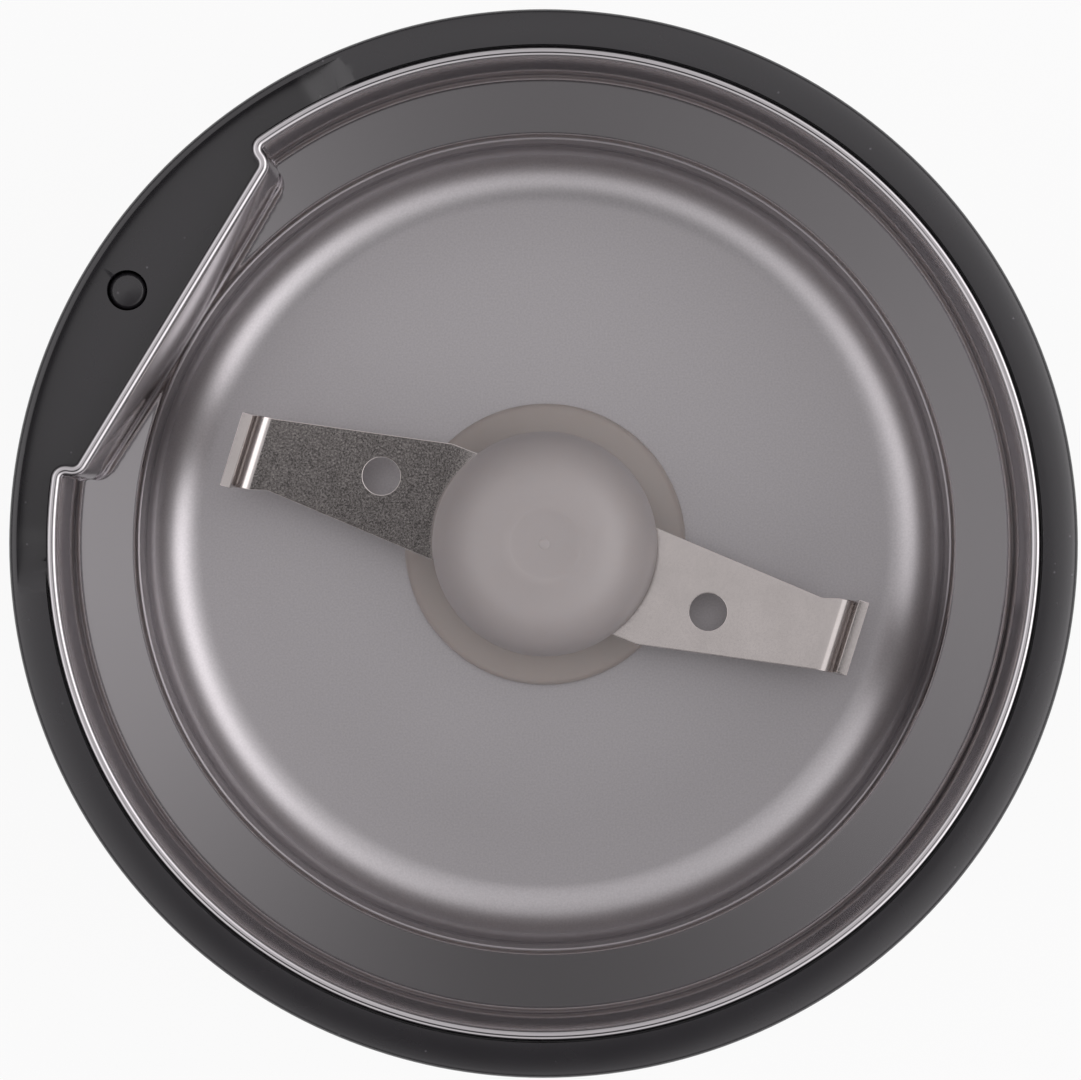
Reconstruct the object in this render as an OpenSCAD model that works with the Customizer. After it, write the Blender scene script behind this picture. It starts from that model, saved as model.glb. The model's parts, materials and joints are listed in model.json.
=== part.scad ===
// Electric blade coffee grinder, base unit with the lid taken off.
// Millimetres, +Z up, origin at the centre of the footprint on the table.

/* [Housing] */
// Outside diameter of the ring round the bowl
top_d = 92; // [90:1:96]
// Height of the ring above the table
body_h = 126; // [122:1:136]
// How far the housing flares out at the foot, per side
foot_flare = 3; // [2:0.5:5]
// Height at which the flare starts
flare_z = 80; // [60:5:84]
// Wall thickness of the housing
wall = 2; // [1.6:0.1:2.2]
// Tilt of the crowned ring at its outer edge
crown_tilt = 35; // [25:1:45]
// Radius of the ring's outer edge
edge_r = 0.6; // [0.4:0.1:0.8]
// Width of the ring, from the inside of the bowl to the outside of the housing
ring_w = 4.2; // [4:0.1:5]

/* [Bowl] */
// Depth from the ring to the bowl floor
bowl_depth = 31.5; // [30:0.5:33]
// Height of the upright D-shaped wall
d_wall_h = 14; // [13:0.5:15]
// Height of the sloping wall below it
slope_h = 7; // [6:0.5:8]
// Width of the step from the upper wall in to the round lower bowl
step_w = 5.3; // [4.8:0.1:6.3]
// Fillet between the bowl floor and its wall
floor_fillet = 5; // [4:0.5:5.5]
// Rounding at the top of the lower bowl
shoulder_r = 1.5; // [1:0.25:2]
// Sheet thickness of the bowl
sheet = 0.6; // [0.5:0.05:0.7]
// Width of the bowl's turned-out rim, from the inner face
rim_w = 1; // [0.9:0.05:1.1]
// Height of the rim
rim_h = 0.8; // [0.6:0.1:1]

/* [Lid pocket] */
// Direction of the pocket that takes the lid's button
pocket_az = 148.7; // [140:0.1:160]
// How far the straight wall stands in from the round wall
chord_inset = 4.9; // [4.6:0.1:5]
// Half angle of the straight wall
chord_half_angle = 23.2; // [22:0.2:25]
// Corner radius at the ends of the straight wall
chord_corner_r = 2.5; // [2:0.1:3]
// Half angle of the recess in the ring
pocket_half_angle = 34; // [31:1:37]
// Depth of the recess below the ring
pocket_depth = 2.2; // [1.8:0.1:2.6]
// Width of the lip left outside the recess
pocket_lip = 0.7; // [0.6:0.1:1]

/* [Interlock] */
// Distance of the interlock pin from the outside of the ring
pin_inset = 3.9; // [3.8:0.1:4.2]
// Diameter of the interlock pin
pin_d = 3.3; // [3:0.1:3.4]
// Travel of the interlock pin
pin_travel = 2; // [1.5:0.1:2.2]
// How far the pin lies below the floor of the recess
pin_sink = 0.4; // [0.2:0.1:0.8]
// Wire of the pin's return spring
pin_spring_wire = 0.4; // [0.3:0.05:0.45]

/* [Blade] */
// Direction of the blade at rest
blade_az = -17.4; // [-180:0.1:180]
// Distance from the axis to the blade's bend
blade_reach = 27; // [25:0.5:28]
// Thickness of the blade
blade_t = 1; // [0.8:0.1:1.2]
// Rise of the wings towards their tips, in degrees
blade_rise = 5; // [3:0.5:6]
// Height of the blade above the bowl floor
blade_z = 7.5; // [7:0.5:8.5]
// Bend of the tips, in degrees
tip_bend = 78; // [65:1:85]
// Inside radius of the tip bend
tip_bend_r = 1.6; // [1.2:0.1:2]
// Length of the straight lip after the bend
tip_lip = 1.5; // [1:0.1:2]
// Diameter of the hole in each wing
wing_hole_d = 3.4; // [3:0.1:4]
// Diameter of the hub
hub_d = 20.4; // [19:0.2:21]
// Height of the hub's dome above the blade
hub_rise = 9; // [8:0.5:11]
// Diameter of the bush that clamps the bowl floor
bush_d = 26; // [24:0.5:28]
// Height of the bush above the bowl floor
bush_h = 2.5; // [2:0.1:3]

/* [Motor] */
// Shaft diameter
shaft_d = 6; // [5:0.5:6]
// Diameter of the stator stack
stator_d = 58; // [56:1:60]
// Free height between the motor and the base cover
base_room = 9; // [5:0.5:12]
// Diameter of the armature
armature_d = 29.4; // [28:0.2:30]
// Air gap between armature and stator
air_gap = 0.6; // [0.4:0.1:0.8]
// Number of armature slots
armature_slots = 12; // [8:2:14]
// Diameter of the commutator
commutator_d = 19; // [17:0.5:20]
// Number of commutator bars
commutator_bars = 24; // [12:2:28]
// Diameter of the cooling fan
fan_d = 39; // [36:0.5:39.5]
// Number of fan blades
fan_blades = 9; // [6:1:12]
// Side of the square carbon brushes
brush_w = 6; // [5:0.5:6.5]

/* [Base] */
// Height of the rubber feet
foot_h = 3; // [2:0.5:4]
// Diameter of the rubber feet
foot_d = 9; // [7:0.5:10]
// Number of feet
feet_n = 4; // [3:1:6]
// Distance of the feet from the edge of the base cover
foot_inset = 10.6; // [9.6:0.2:12.6]
// Thickness of the base cover
base_t = 2.5; // [2:0.1:3]
// Number of air slots in the base
base_slots = 16; // [10:1:18]
// Bore of the cord grommet
cord_bore_d = 6.5; // [5:0.1:7]
// Height of the cord grommet above the base cover
cord_rise = 11; // [10:0.5:14]

/* [Clearances] */
// Gap round a piece that drops into its seat
seat_gap = 0.1; // [0.05:0.01:0.15]
// Gap round a sliding or turning piece
run_gap = 0.2; // [0.15:0.01:0.25]
// Gap round the motor shaft in its bearings
bearing_gap = 0.05; // [0.03:0.01:0.08]

/* [Hidden] */
$fn = 96;
eps = 0.01;

// Levels, from the ring down
top_r = top_d / 2;
bowl_r = top_r - ring_w;
cup_r = bowl_r - step_w;
chord_x = bowl_r - chord_inset;
pin_x = top_r - pin_inset;
slope_top_z = body_h - d_wall_h;
shoulder_z = slope_top_z - slope_h;
floor_z = body_h - bowl_depth;
under_z = floor_z - sheet;
gasket_t = 1.6;
gasket_out_r = 24;
gasket_in_r = 19;
bracket_top_z = under_z - gasket_t;
bracket_t = 4;
bracket_z = bracket_top_z - bracket_t;
pocket_z = body_h - pocket_depth;

// Motor levels, from the upper bracket down
shaft_r = shaft_d / 2;
bearing_t = 3;
bearing_r = shaft_r + bearing_t;
bearing_l = 6;
bearing_wall = 3.5;
bush_neck_t = 4;
bush_neck_r = shaft_r + bush_neck_t;
bush_neck_l = 3.5;
upper_bearing_top_z = under_z - bush_neck_l;
upper_bearing_z = upper_bearing_top_z - bearing_l;
washer_t = 0.8;
fan_top_z = upper_bearing_z - run_gap - washer_t;
fan_h = 4;
fan_z = fan_top_z - fan_h;
fan_disc_t = 1.2;
coil_end = 5.5;
fan_room = 1.9;
coil_top_z = fan_z - fan_room;
stack_top_z = coil_top_z - coil_end;
armature_r = armature_d / 2;
bore_r = armature_r + air_gap;
coil_t = 4.6;
coil_r = bore_r + coil_t;
winding_h = 5.5;
winding_room = 2.5;
commutator_r = commutator_d / 2;
commutator_h = 12;
commutator_room = 4;
bearing_sink = 1.5;
cup_floor_t = 2;
base_z = foot_h;
base_top_z = base_z + base_t;
lower_cup_z = base_top_z + base_room;
lower_bearing_z = lower_cup_z + cup_floor_t;
lower_bearing_top_z = lower_bearing_z + bearing_l;
lower_bracket_top_z = lower_bearing_top_z + bearing_sink;
lower_bracket_z = lower_bracket_top_z - bracket_t;
commutator_z = lower_bracket_top_z + commutator_room;
commutator_top_z = commutator_z + commutator_h;
stack_z = commutator_top_z + winding_room + winding_h;
stack_l = stack_top_z - stack_z;
coil_z = stack_z - coil_end;
shaft_z = lower_bearing_z + 0.3;
spacer_r = 4;
motor_screw_x = coil_r + spacer_r + 0.5;
motor_screw_r = 1.9;
motor_screw_head = 2.6;
stator_r = stator_d / 2;
airway_x = 31.5;
airway_r = 3;
vent_x = 20;
vent_r = 3.6;
pole_half_angle = 35;
window_half_angle = 55;

// Brush gear, along X at the middle of the commutator
brush_z = (commutator_z + commutator_top_z) / 2;
brush_wall = 1;
brush_in_x = commutator_r + run_gap / 2;
brush_l = 10;
holder_in_x = commutator_r + 0.8;
holder_l = 15;
holder_out_x = holder_in_x + holder_l;
brush_cap_t = 2;
brush_cap_plug = 1.4;
brush_spring_wire = 0.5;

// Bracket fixings
boss_inset = 5.6;
boss_x = top_r - boss_inset;
boss_r = 2.8;
boss_h = 10.5;
boss_screw_r = 1.5;
bracket_r = top_r - wall - 0.6;
boss_azimuths = [for (i = [0 : 2]) pocket_az + 60 + 120 * i];
screw_head_h = 2.2;
screw_head_r = 2.8;

// Base
base_r = top_r + foot_flare - wall - 0.4;
foot_x = base_r - foot_inset;
base_rim_h = 5;
base_rim_t = 1.8;
base_boss_x = base_r - 4.6;
base_boss_r = 3.2;
base_boss_h = 18;
base_azimuths = [for (i = [0 : 2]) pocket_az + 60 + 120 * i];
cord_z = base_top_z + cord_rise;
screw_sink = 1.4;
base_screw_l = 12;

// Interlock chain, in the pocket's own frame: X outwards, Y along the chord
holder_top_z = pocket_z - 14.8;
shelf_t = 1.6;
pin_spring_solid = 2.5;
plunger_arm_z = holder_top_z + pin_spring_solid + pin_travel;
plunger_arm_t = 2;
guide_z = plunger_arm_z + plunger_arm_t + run_gap;
plate_t = 2.5;
pin_r = pin_d / 2;
pin_hole_r = pin_r + run_gap;
stem_x = chord_x + 3.3;
stem_y = 4;
stem_r = 1.2;
stem_end_z = holder_top_z - 3.4;
pin_spring_r = stem_r + run_gap + pin_spring_wire / 2;
pin_spring_turns = 3.5;
switch_x0 = chord_x + sheet + 0.6;
switch_t = 4.8;
switch_half_l = 6.4;
switch_top_z = stem_end_z - pin_travel - 1;
switch_h = 8;
lever_pivot_y = -5.6;
lever_pivot_z = switch_top_z + 1.1;
lever_t = 0.35;
lever_w = 2;
lever_pin_r = 0.5;
lever_pin_half = lever_w / 2 + 0.45;
lever_arm = stem_y - lever_pivot_y;
lever_tilt = atan((stem_end_z - run_gap - lever_t / 2 - lever_pivot_z) / lever_arm);
lever_end = 1.4;
button_y = -1.5;
button_r = 0.8;
button_depth = 2.6;
button_top_z = lever_pivot_z + (button_y - button_r - lever_pivot_y) * tan(lever_tilt) - lever_t / 2 - 0.1;
holder_arm_t = 1.6;
holder_w = 4;
holder_base_t = 2;
ear_slot = 2;

dark_plastic = [0.17, 0.16, 0.17];
steel_colour = [0.66, 0.65, 0.66];

// Shared shapes

function arc(cx, cy, r, a0, a1, n) =
    [for (i = [0 : n]) let (a = a0 + (a1 - a0) * i / n) [cx + r * cos(a), cy + r * sin(a)]];

// Radius of the housing's skin at a height
function skin_r(z) = top_r + (z < flare_z ? foot_flare * pow((flare_z - z) / (flare_z - base_z), 2) : 0);

module turn(az) { rotate([0, 0, az]) children(); }

module tube(r_out, r_in, z0, z1) {
    translate([0, 0, z0]) difference() {
        cylinder(r = r_out, h = z1 - z0);
        translate([0, 0, -eps]) cylinder(r = r_in, h = z1 - z0 + 2 * eps);
    }
}

module rod(r, z0, z1) { translate([0, 0, z0]) cylinder(r = r, h = z1 - z0); }

module box(x0, x1, y0, y1, z0, z1) { translate([x0, y0, z0]) cube([x1 - x0, y1 - y0, z1 - z0]); }

// A flat pie slice, symmetric about X
module sector(r, half_angle) {
    polygon(concat([[0, 0]], [for (i = [-4 : 4]) r / cos(half_angle / 4) *
        [cos(half_angle * i / 4), sin(half_angle * i / 4)]]));
}

// Outline of the bowl opening: a round with the lid pocket taken out of one side.
// grow moves the whole outline outwards.
module d_outline(grow) {
    corner = chord_corner_r - grow;
    x = chord_x + chord_corner_r;
    y = (x * sin(chord_half_angle) - chord_corner_r) / cos(chord_half_angle);
    side = [x - corner * sin(chord_half_angle), y + corner * cos(chord_half_angle)];
    far = side + 2 * chord_x * [cos(chord_half_angle), sin(chord_half_angle)];
    turn(pocket_az) difference() {
        circle(r = bowl_r + grow);
        polygon([
            [chord_x + grow, -y], [chord_x + grow, y], side, far,
            [far[0], -far[1]], [side[0], -side[1]]
        ]);
        for (s = [-1, 1]) translate([x, s * y]) circle(r = corner);
    }
}

module d_prism(grow, z0, z1) { translate([0, 0, z0]) linear_extrude(z1 - z0) d_outline(grow); }

// A wound spring of round wire along +Z, as one tube
module coil_spring(coil_r, wire_d, length, turns) {
    sides = 6;
    per_turn = 10;
    rings = ceil(turns * per_turn);
    climb = length - wire_d;
    points = [for (k = [0 : rings]) let (a = 360 * turns * k / rings, z = wire_d / 2 + climb * k / rings)
        for (j = [0 : sides - 1]) let (b = 360 * j / sides, r = coil_r + wire_d / 2 * cos(b))
            [r * cos(a), r * sin(a), z + wire_d / 2 * sin(b)]];
    walls = [for (k = [0 : rings - 1], j = [0 : sides - 1])
        let (p = k * sides + j, q = k * sides + (j + 1) % sides)
            for (f = [[p, p + sides, q], [q, p + sides, q + sides]]) f];
    first = [for (j = [1 : sides - 2]) [0, j, j + 1]];
    last = [for (j = [1 : sides - 2]) let (n = rings * sides) [n, n + j + 1, n + j]];
    polyhedron(points, concat(walls, first, last));
}

// Screw along +Z with its head down at z0
module screw(shank_r, head_r, head_h, z0, z1) {
    rod(head_r, z0, z0 + head_h);
    rod(shank_r, z0 + head_h - eps, z1);
}

// Housing

module housing_section() {
    crown_in_r = bowl_r + rim_w + seat_gap;
    crown_run = top_r - edge_r - crown_in_r;
    crown_r = edge_r + crown_run / sin(crown_tilt);
    edge_z = body_h - crown_r + (crown_r - edge_r) * cos(crown_tilt);
    deck_in_r = chord_x - 3;
    steps = 14;
    skin = [for (i = [0 : steps]) let (z = base_z + (flare_z - base_z) * i / steps) [skin_r(z), z]];
    inside = [for (i = [0 : steps]) let (z = flare_z - (flare_z - base_z) * i / steps) [skin_r(z) - wall, z]];
    polygon(concat(
        skin,
        arc(top_r - edge_r, edge_z, edge_r, 0, 90 - crown_tilt, 5),
        arc(crown_in_r, body_h - crown_r, crown_r, 90 - crown_tilt, 90, 8),
        [[deck_in_r, body_h], [deck_in_r, pocket_z - plate_t], [top_r - wall, pocket_z - plate_t]],
        inside
    ));
}

module pocket_cut() {
    translate([0, 0, pocket_z]) linear_extrude(pocket_depth + 1) turn(pocket_az) intersection() {
        circle(r = top_r - pocket_lip);
        sector(top_r, pocket_half_angle);
    }
}

module housing() {
    color(dark_plastic) difference() {
        union() {
            rotate_extrude() housing_section();
            // guide for the interlock pin
            turn(pocket_az) translate([pin_x, 0, 0]) rod(pin_r + 1.35, guide_z, pocket_z - plate_t + eps);
            // bosses for the upper bracket
            for (az = boss_azimuths) turn(az) {
                translate([boss_x, 0, 0]) rod(boss_r, bracket_top_z, bracket_top_z + boss_h);
                box(boss_x + 1, top_r - wall + 0.5, -1.5, 1.5, bracket_top_z, bracket_top_z + boss_h);
            }
            // bosses for the base cover
            for (az = base_azimuths) turn(az) {
                boss_top_z = base_top_z + base_boss_h;
                translate([base_boss_x, 0, 0]) rod(base_boss_r, base_top_z, boss_top_z);
                box(base_boss_x + 1, skin_r(boss_top_z) - wall + 0.5, -1.5, 1.5, base_top_z, boss_top_z);
            }
        }
        d_prism(sheet + seat_gap, floor_z, body_h + 1);
        d_prism(rim_w + seat_gap, body_h - rim_h, body_h + 1);
        pocket_cut();
        turn(pocket_az) translate([pin_x, 0, 0]) rod(pin_hole_r, guide_z - 1, pocket_z + 1);
        for (az = boss_azimuths) turn(az) translate([boss_x, 0, 0])
            rod(boss_screw_r, bracket_top_z - 1, bracket_top_z + boss_h - 1);
        for (az = base_azimuths) turn(az) translate([base_boss_x, 0, 0])
            rod(boss_screw_r, base_top_z - 1, base_top_z + base_boss_h - 2);
        turn(pocket_az) translate([0, 0, cord_z]) rotate([0, 90, 0]) rod(grommet_neck_r, top_r - 5, top_r + 10);
    }
}

// Bowl

// Half section of the bowl cavity; grow thickens it to the outside of the sheet
module bowl_section(grow, top_z) {
    slope_a = atan2(slope_h, bowl_r - cup_r - shoulder_r);
    r_in = cup_r + grow;
    r_sh = shoulder_r - grow * (shoulder_r > grow ? 1 : 0);
    fillet = floor_fillet + grow;
    polygon(concat(
        [[0, floor_z - grow]],
        arc(r_in - fillet, floor_z - grow + fillet, fillet, -90, 0, 10),
        arc(r_in + r_sh, shoulder_z - shoulder_r, r_sh, 180, 90 + slope_a, 4),
        [[bowl_r + grow, slope_top_z], [bowl_r + grow, top_z], [0, top_z]]
    ));
}

module grinding_bowl() {
    color(steel_colour) difference() {
        union() {
            intersection() {
                rotate_extrude() bowl_section(sheet, body_h);
                d_prism(sheet, under_z - 1, body_h + 1);
            }
            d_prism(rim_w, body_h - rim_h, body_h);
        }
        intersection() {
            rotate_extrude() bowl_section(0, body_h + 2);
            d_prism(0, floor_z - 1, body_h + 3);
        }
        rod(bush_neck_r + seat_gap, under_z - 1, floor_z + 1);
    }
}

module bowl_gasket() {
    color([0.1, 0.1, 0.1]) tube(gasket_out_r, gasket_in_r, bracket_top_z, under_z);
}

// White bush that passes through the bowl floor and carries its centre
module bowl_bush() {
    flange_edge = 0.8;
    color([0.88, 0.87, 0.84]) difference() {
        rotate_extrude() polygon(concat(
            [[shaft_r + bearing_gap * 2, upper_bearing_top_z], [bush_neck_r, upper_bearing_top_z]],
            [[bush_neck_r, floor_z], [bush_d / 2, floor_z]],
            arc(bush_d / 2 - flange_edge, floor_z + bush_h - flange_edge - 0.9, flange_edge, 0, 75, 4),
            [[hub_d / 2 - 1, floor_z + bush_h], [shaft_r + bearing_gap * 2, floor_z + bush_h]]
        ));
    }
}

// Motor frame

module at_motor_screws() { for (s = [-1, 1]) translate([0, s * motor_screw_x, 0]) children(); }

module upper_bracket() {
    color([0.2, 0.2, 0.21]) difference() {
        union() {
            rod(bracket_r, bracket_z, bracket_top_z);
            rod(bearing_r + bearing_wall, upper_bearing_z, bracket_top_z);
            at_motor_screws() rod(spacer_r, stack_top_z, bracket_top_z);
        }
        rod(bush_neck_r + seat_gap, upper_bearing_top_z, bracket_top_z + 1);
        rod(bearing_r, upper_bearing_z - 1, upper_bearing_top_z + eps);
        at_motor_screws() rod(motor_screw_r + seat_gap, stack_top_z - 1, bracket_top_z - 1.2);
        for (az = boss_azimuths) turn(az) translate([boss_x, 0, 0])
            rod(boss_screw_r + seat_gap, bracket_z - 1, bracket_top_z + 1);
        // air ways
        for (i = [0 : 11]) turn(15 + 30 * i) translate([airway_x, 0, 0])
            rod(airway_r, bracket_z - 1, bracket_top_z + 1);
        turn(pocket_az) for (s = [-1, 1]) translate([stem_x, s * holder_post_y, 0])
            rod(holder_post_r + seat_gap, bracket_z - 1, bracket_top_z + 1);
    }
}

module bearing(z0) {
    color([0.72, 0.52, 0.28]) tube(bearing_r, shaft_r + bearing_gap, z0, z0 + bearing_l);
}

module upper_bearing() { bearing(upper_bearing_z); }

module lower_bearing() { bearing(lower_bearing_z); }

// Stack outline: a round with two flats, the bore and the coil windows
module stator_outline() {
    difference() {
        intersection() {
            circle(r = stator_r);
            square([stator_d, 2 * (motor_screw_x + spacer_r)], center = true);
        }
        circle(r = bore_r);
        for (side = [0, 180], s = [-1, 1]) intersection() {
            circle(r = coil_r + seat_gap);
            turn(side + s * (pole_half_angle + window_half_angle) / 2)
                sector(stator_r, (window_half_angle - pole_half_angle) / 2 + 0.5);
        }
        at_motor_screws() circle(r = motor_screw_r + seat_gap);
    }
}

module stator_core() {
    color([0.42, 0.43, 0.45]) translate([0, 0, stack_z]) linear_extrude(stack_l) stator_outline();
}

// Saddle coil round one pole: a band of a tube with the pole's window cut out
module field_coil(side) {
    color([0.66, 0.35, 0.16]) turn(side) difference() {
        intersection() {
            tube(coil_r, bore_r + air_gap, coil_z, coil_top_z);
            translate([0, 0, coil_z]) linear_extrude(coil_top_z - coil_z) sector(stator_r, window_half_angle);
        }
        translate([0, 0, stack_z - seat_gap]) linear_extrude(stack_l + 2 * seat_gap)
            sector(stator_r, pole_half_angle);
    }
}

module field_coil_left() { field_coil(180); }

module field_coil_right() { field_coil(0); }

module lower_bracket() {
    post_x = holder_in_x + 2;
    color([0.2, 0.2, 0.21]) difference() {
        union() {
            rod(stator_r, lower_bracket_z, lower_bracket_top_z);
            rod(bearing_r + bearing_wall, lower_cup_z, lower_bracket_top_z);
            at_motor_screws() rod(spacer_r, lower_bracket_z, stack_z);
            for (s = [0, 180]) turn(s) box(
                post_x, holder_out_x - 2, -brush_w / 2 - brush_wall, brush_w / 2 + brush_wall,
                lower_bracket_z, brush_z - brush_w / 2 - brush_wall
            );
        }
        rod(bearing_r, lower_bearing_z, lower_bracket_top_z + 1);
        at_motor_screws() rod(motor_screw_r + seat_gap, lower_bracket_z - 1, stack_z + 1);
        for (i = [0 : 7]) turn(22.5 + 45 * i) translate([vent_x, 0, 0])
            rod(vent_r, lower_bracket_z - 1, lower_bracket_top_z + 1);
    }
}

module brush_holder(side) {
    w = brush_w + 2 * seat_gap;
    color([0.78, 0.62, 0.3]) turn(side) translate([0, 0, brush_z]) difference() {
        box(holder_in_x, holder_out_x, -w / 2 - brush_wall + seat_gap, w / 2 + brush_wall - seat_gap,
            -w / 2 - brush_wall + seat_gap, w / 2 + brush_wall - seat_gap);
        box(holder_in_x - 1, holder_out_x + 1, -w / 2, w / 2, -w / 2, w / 2);
    }
}

module brush_holder_left() { brush_holder(180); }

module brush_holder_right() { brush_holder(0); }

module brush(side) {
    color([0.12, 0.12, 0.13]) turn(side) difference() {
        translate([0, 0, brush_z]) box(brush_in_x - 2, brush_in_x + brush_l, -brush_w / 2, brush_w / 2,
            -brush_w / 2, brush_w / 2);
        rod(brush_in_x, commutator_z, commutator_top_z);
    }
}

module brush_left() { brush(180); }

module brush_right() { brush(0); }

module brush_spring(side) {
    length = holder_out_x - brush_cap_plug - brush_in_x - brush_l;
    color([0.7, 0.7, 0.72]) turn(side) translate([brush_in_x + brush_l, 0, brush_z]) rotate([0, 90, 0])
        coil_spring(brush_w / 2 - 1, brush_spring_wire, length, 3.5);
}

module brush_spring_left() { brush_spring(180); }

module brush_spring_right() { brush_spring(0); }

module brush_cap(side) {
    half = brush_w / 2 + brush_wall;
    color([0.15, 0.15, 0.15]) turn(side) translate([0, 0, brush_z]) {
        box(holder_out_x, holder_out_x + brush_cap_t, -half, half, -half, half);
        box(holder_out_x - brush_cap_plug, holder_out_x + eps, -brush_w / 2, brush_w / 2,
            -brush_w / 2, brush_w / 2);
    }
}

module brush_cap_left() { brush_cap(180); }

module brush_cap_right() { brush_cap(0); }

module motor_screws() {
    color([0.75, 0.75, 0.77]) at_motor_screws() screw(motor_screw_r, spacer_r - 0.6, motor_screw_head,
        lower_bracket_z - motor_screw_head, bracket_top_z - 1.4);
}

module bracket_screws() {
    color([0.75, 0.75, 0.77]) for (az = boss_azimuths) turn(az) translate([boss_x, 0, 0])
        screw(boss_screw_r, screw_head_r, screw_head_h, bracket_z - screw_head_h, bracket_top_z + boss_h - 2);
}

// Base

module base_slot() {
    slot_w = 2.6;
    slot_in = 13;
    slot_out = 29;
    box(slot_in, slot_out, -slot_w / 2, slot_w / 2, base_z - 1, base_top_z + 1);
    for (x = [slot_in, slot_out]) translate([x, 0, 0]) rod(slot_w / 2, base_z - 1, base_top_z + 1);
}

module at_feet() {
    for (i = [0 : feet_n - 1]) turn(pocket_az + 360 * (i + 0.5) / feet_n) translate([foot_x, 0, 0]) children();
}

foot_stem_r = 2;
grommet_neck_r = cord_bore_d / 2 + 1.6;
grommet_flange = 1.6;
grommet_cut = 12;

module base_cover() {
    rim_r = base_r - 2.8;
    sunk = base_t / 5;
    color(dark_plastic) {
        difference() {
            rod(base_r, base_z, base_top_z);
            for (i = [0 : base_slots - 1]) turn(pocket_az + 360 / base_slots * (i + 0.5)) base_slot();
            at_feet() rod(foot_stem_r + seat_gap, base_z - 1, base_top_z + 1);
            for (az = base_azimuths) turn(az) translate([base_boss_x, 0, 0]) {
                rod(boss_screw_r + seat_gap, base_z - 1, base_top_z + 1);
                rod(screw_head_r + seat_gap, base_z - 1, base_z + screw_sink);
            }
        }
        // rim that centres the cover, open at the housing's bosses
        difference() {
            tube(rim_r, rim_r - base_rim_t, base_top_z - sunk, base_top_z + base_rim_h);
            for (az = base_azimuths) turn(az) translate([base_boss_x, 0, 0])
                rod(base_boss_r + run_gap, base_top_z - 2 * sunk, base_top_z + base_rim_h + 1);
        }
    }
}

module base_screws() {
    color([0.75, 0.75, 0.77]) for (az = base_azimuths) turn(az) translate([base_boss_x, 0, 0])
        screw(boss_screw_r, screw_head_r, screw_sink - 0.2, base_z + 0.2, base_top_z + base_screw_l);
}

module rubber_feet() {
    color([0.09, 0.09, 0.09]) at_feet() {
        translate([0, 0, 0]) rotate_extrude() polygon(concat(
            [[0, 0]], arc(foot_d / 2 - 0.8, 0.8, 0.8, -90, 0, 4), [[foot_d / 2, foot_h], [0, foot_h]]
        ));
        rod(foot_stem_r, foot_h - eps, base_top_z + 0.3);
        translate([0, 0, base_top_z]) cylinder(r1 = foot_stem_r + 0.7, r2 = foot_stem_r - 0.4, h = 1.8);
    }
}

// Rubber grommet where the mains cord leaves the housing
module cord_grommet() {
    out_r = skin_r(cord_z);
    flange_r = grommet_neck_r + 1.4;
    color([0.1, 0.1, 0.1]) turn(pocket_az) translate([0, 0, cord_z]) rotate([0, 90, 0]) difference() {
        union() {
            rod(grommet_neck_r - seat_gap, out_r - wall - grommet_flange, out_r + grommet_flange);
            difference() {
                rod(flange_r, out_r - wall - grommet_flange - 0.4, out_r + grommet_flange);
                rotate([0, -90, 0]) translate([0, 0, -cord_z]) difference() {
                    rotate_extrude() polygon(concat(
                        [for (i = [0 : 6]) let (z = cord_z - 9 + 3 * i) [skin_r(z) + seat_gap, z]],
                        [for (i = [0 : 6]) let (z = cord_z + 9 - 3 * i) [skin_r(z) - wall - seat_gap, z]]
                    ));
                }
            }
        }
        rod(cord_bore_d / 2, out_r - grommet_cut, out_r + grommet_cut);
    }
}

// Interlock and switch

holder_post_y = switch_half_l + run_gap + holder_arm_t / 2;
holder_post_r = 1.1;

module switch_holder() {
    x0 = switch_x0;
    x1 = switch_x0 + holder_w;
    inner = switch_half_l + run_gap;
    outer = inner + holder_arm_t;
    color([0.3, 0.3, 0.31]) turn(pocket_az) difference() {
        union() {
            box(x0, x1, -outer, outer, bracket_top_z, bracket_top_z + holder_base_t);
            for (s = [0, 1]) mirror([0, s, 0]) {
                box(x0, x1, inner, outer, bracket_top_z, holder_top_z);
                translate([stem_x, holder_post_y, 0]) rod(holder_post_r, bracket_z + 0.5, bracket_top_z + eps);
            }
            box(x0, x1, -outer, outer, holder_top_z - shelf_t, holder_top_z);
        }
        translate([stem_x, stem_y, 0]) rod(stem_r + run_gap, holder_top_z - shelf_t - 1, holder_top_z + 1);
    }
}

module microswitch() {
    ear_h = lever_pivot_z - switch_top_z + 1;
    slot_half = lever_w / 2 + run_gap;
    x1 = switch_x0 + switch_t;
    pin_end = lever_pin_half + run_gap;
    color([0.13, 0.13, 0.14]) turn(pocket_az) difference() {
        union() {
            box(switch_x0, x1, -switch_half_l, switch_half_l, bracket_top_z + holder_base_t, switch_top_z);
            box(switch_x0, x1, -switch_half_l, lever_pivot_y + 0.9, switch_top_z - eps, switch_top_z + ear_h);
        }
        box(stem_x - slot_half, stem_x + slot_half, -switch_half_l - 1, lever_pivot_y + ear_slot,
            switch_top_z - 0.3, switch_top_z + ear_h + 1);
        translate([0, lever_pivot_y, lever_pivot_z]) rotate([0, 90, 0])
            rod(lever_pin_r + bearing_gap, stem_x - pin_end, stem_x + pin_end);
        translate([stem_x, button_y, 0])
            rod(button_r + bearing_gap, switch_top_z - button_depth, switch_top_z + 1);
    }
}

module plunger_spring() {
    color([0.75, 0.75, 0.77]) turn(pocket_az) translate([stem_x, stem_y, holder_top_z])
        coil_spring(pin_spring_r, pin_spring_wire, plunger_arm_z - holder_top_z, pin_spring_turns);
}

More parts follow.
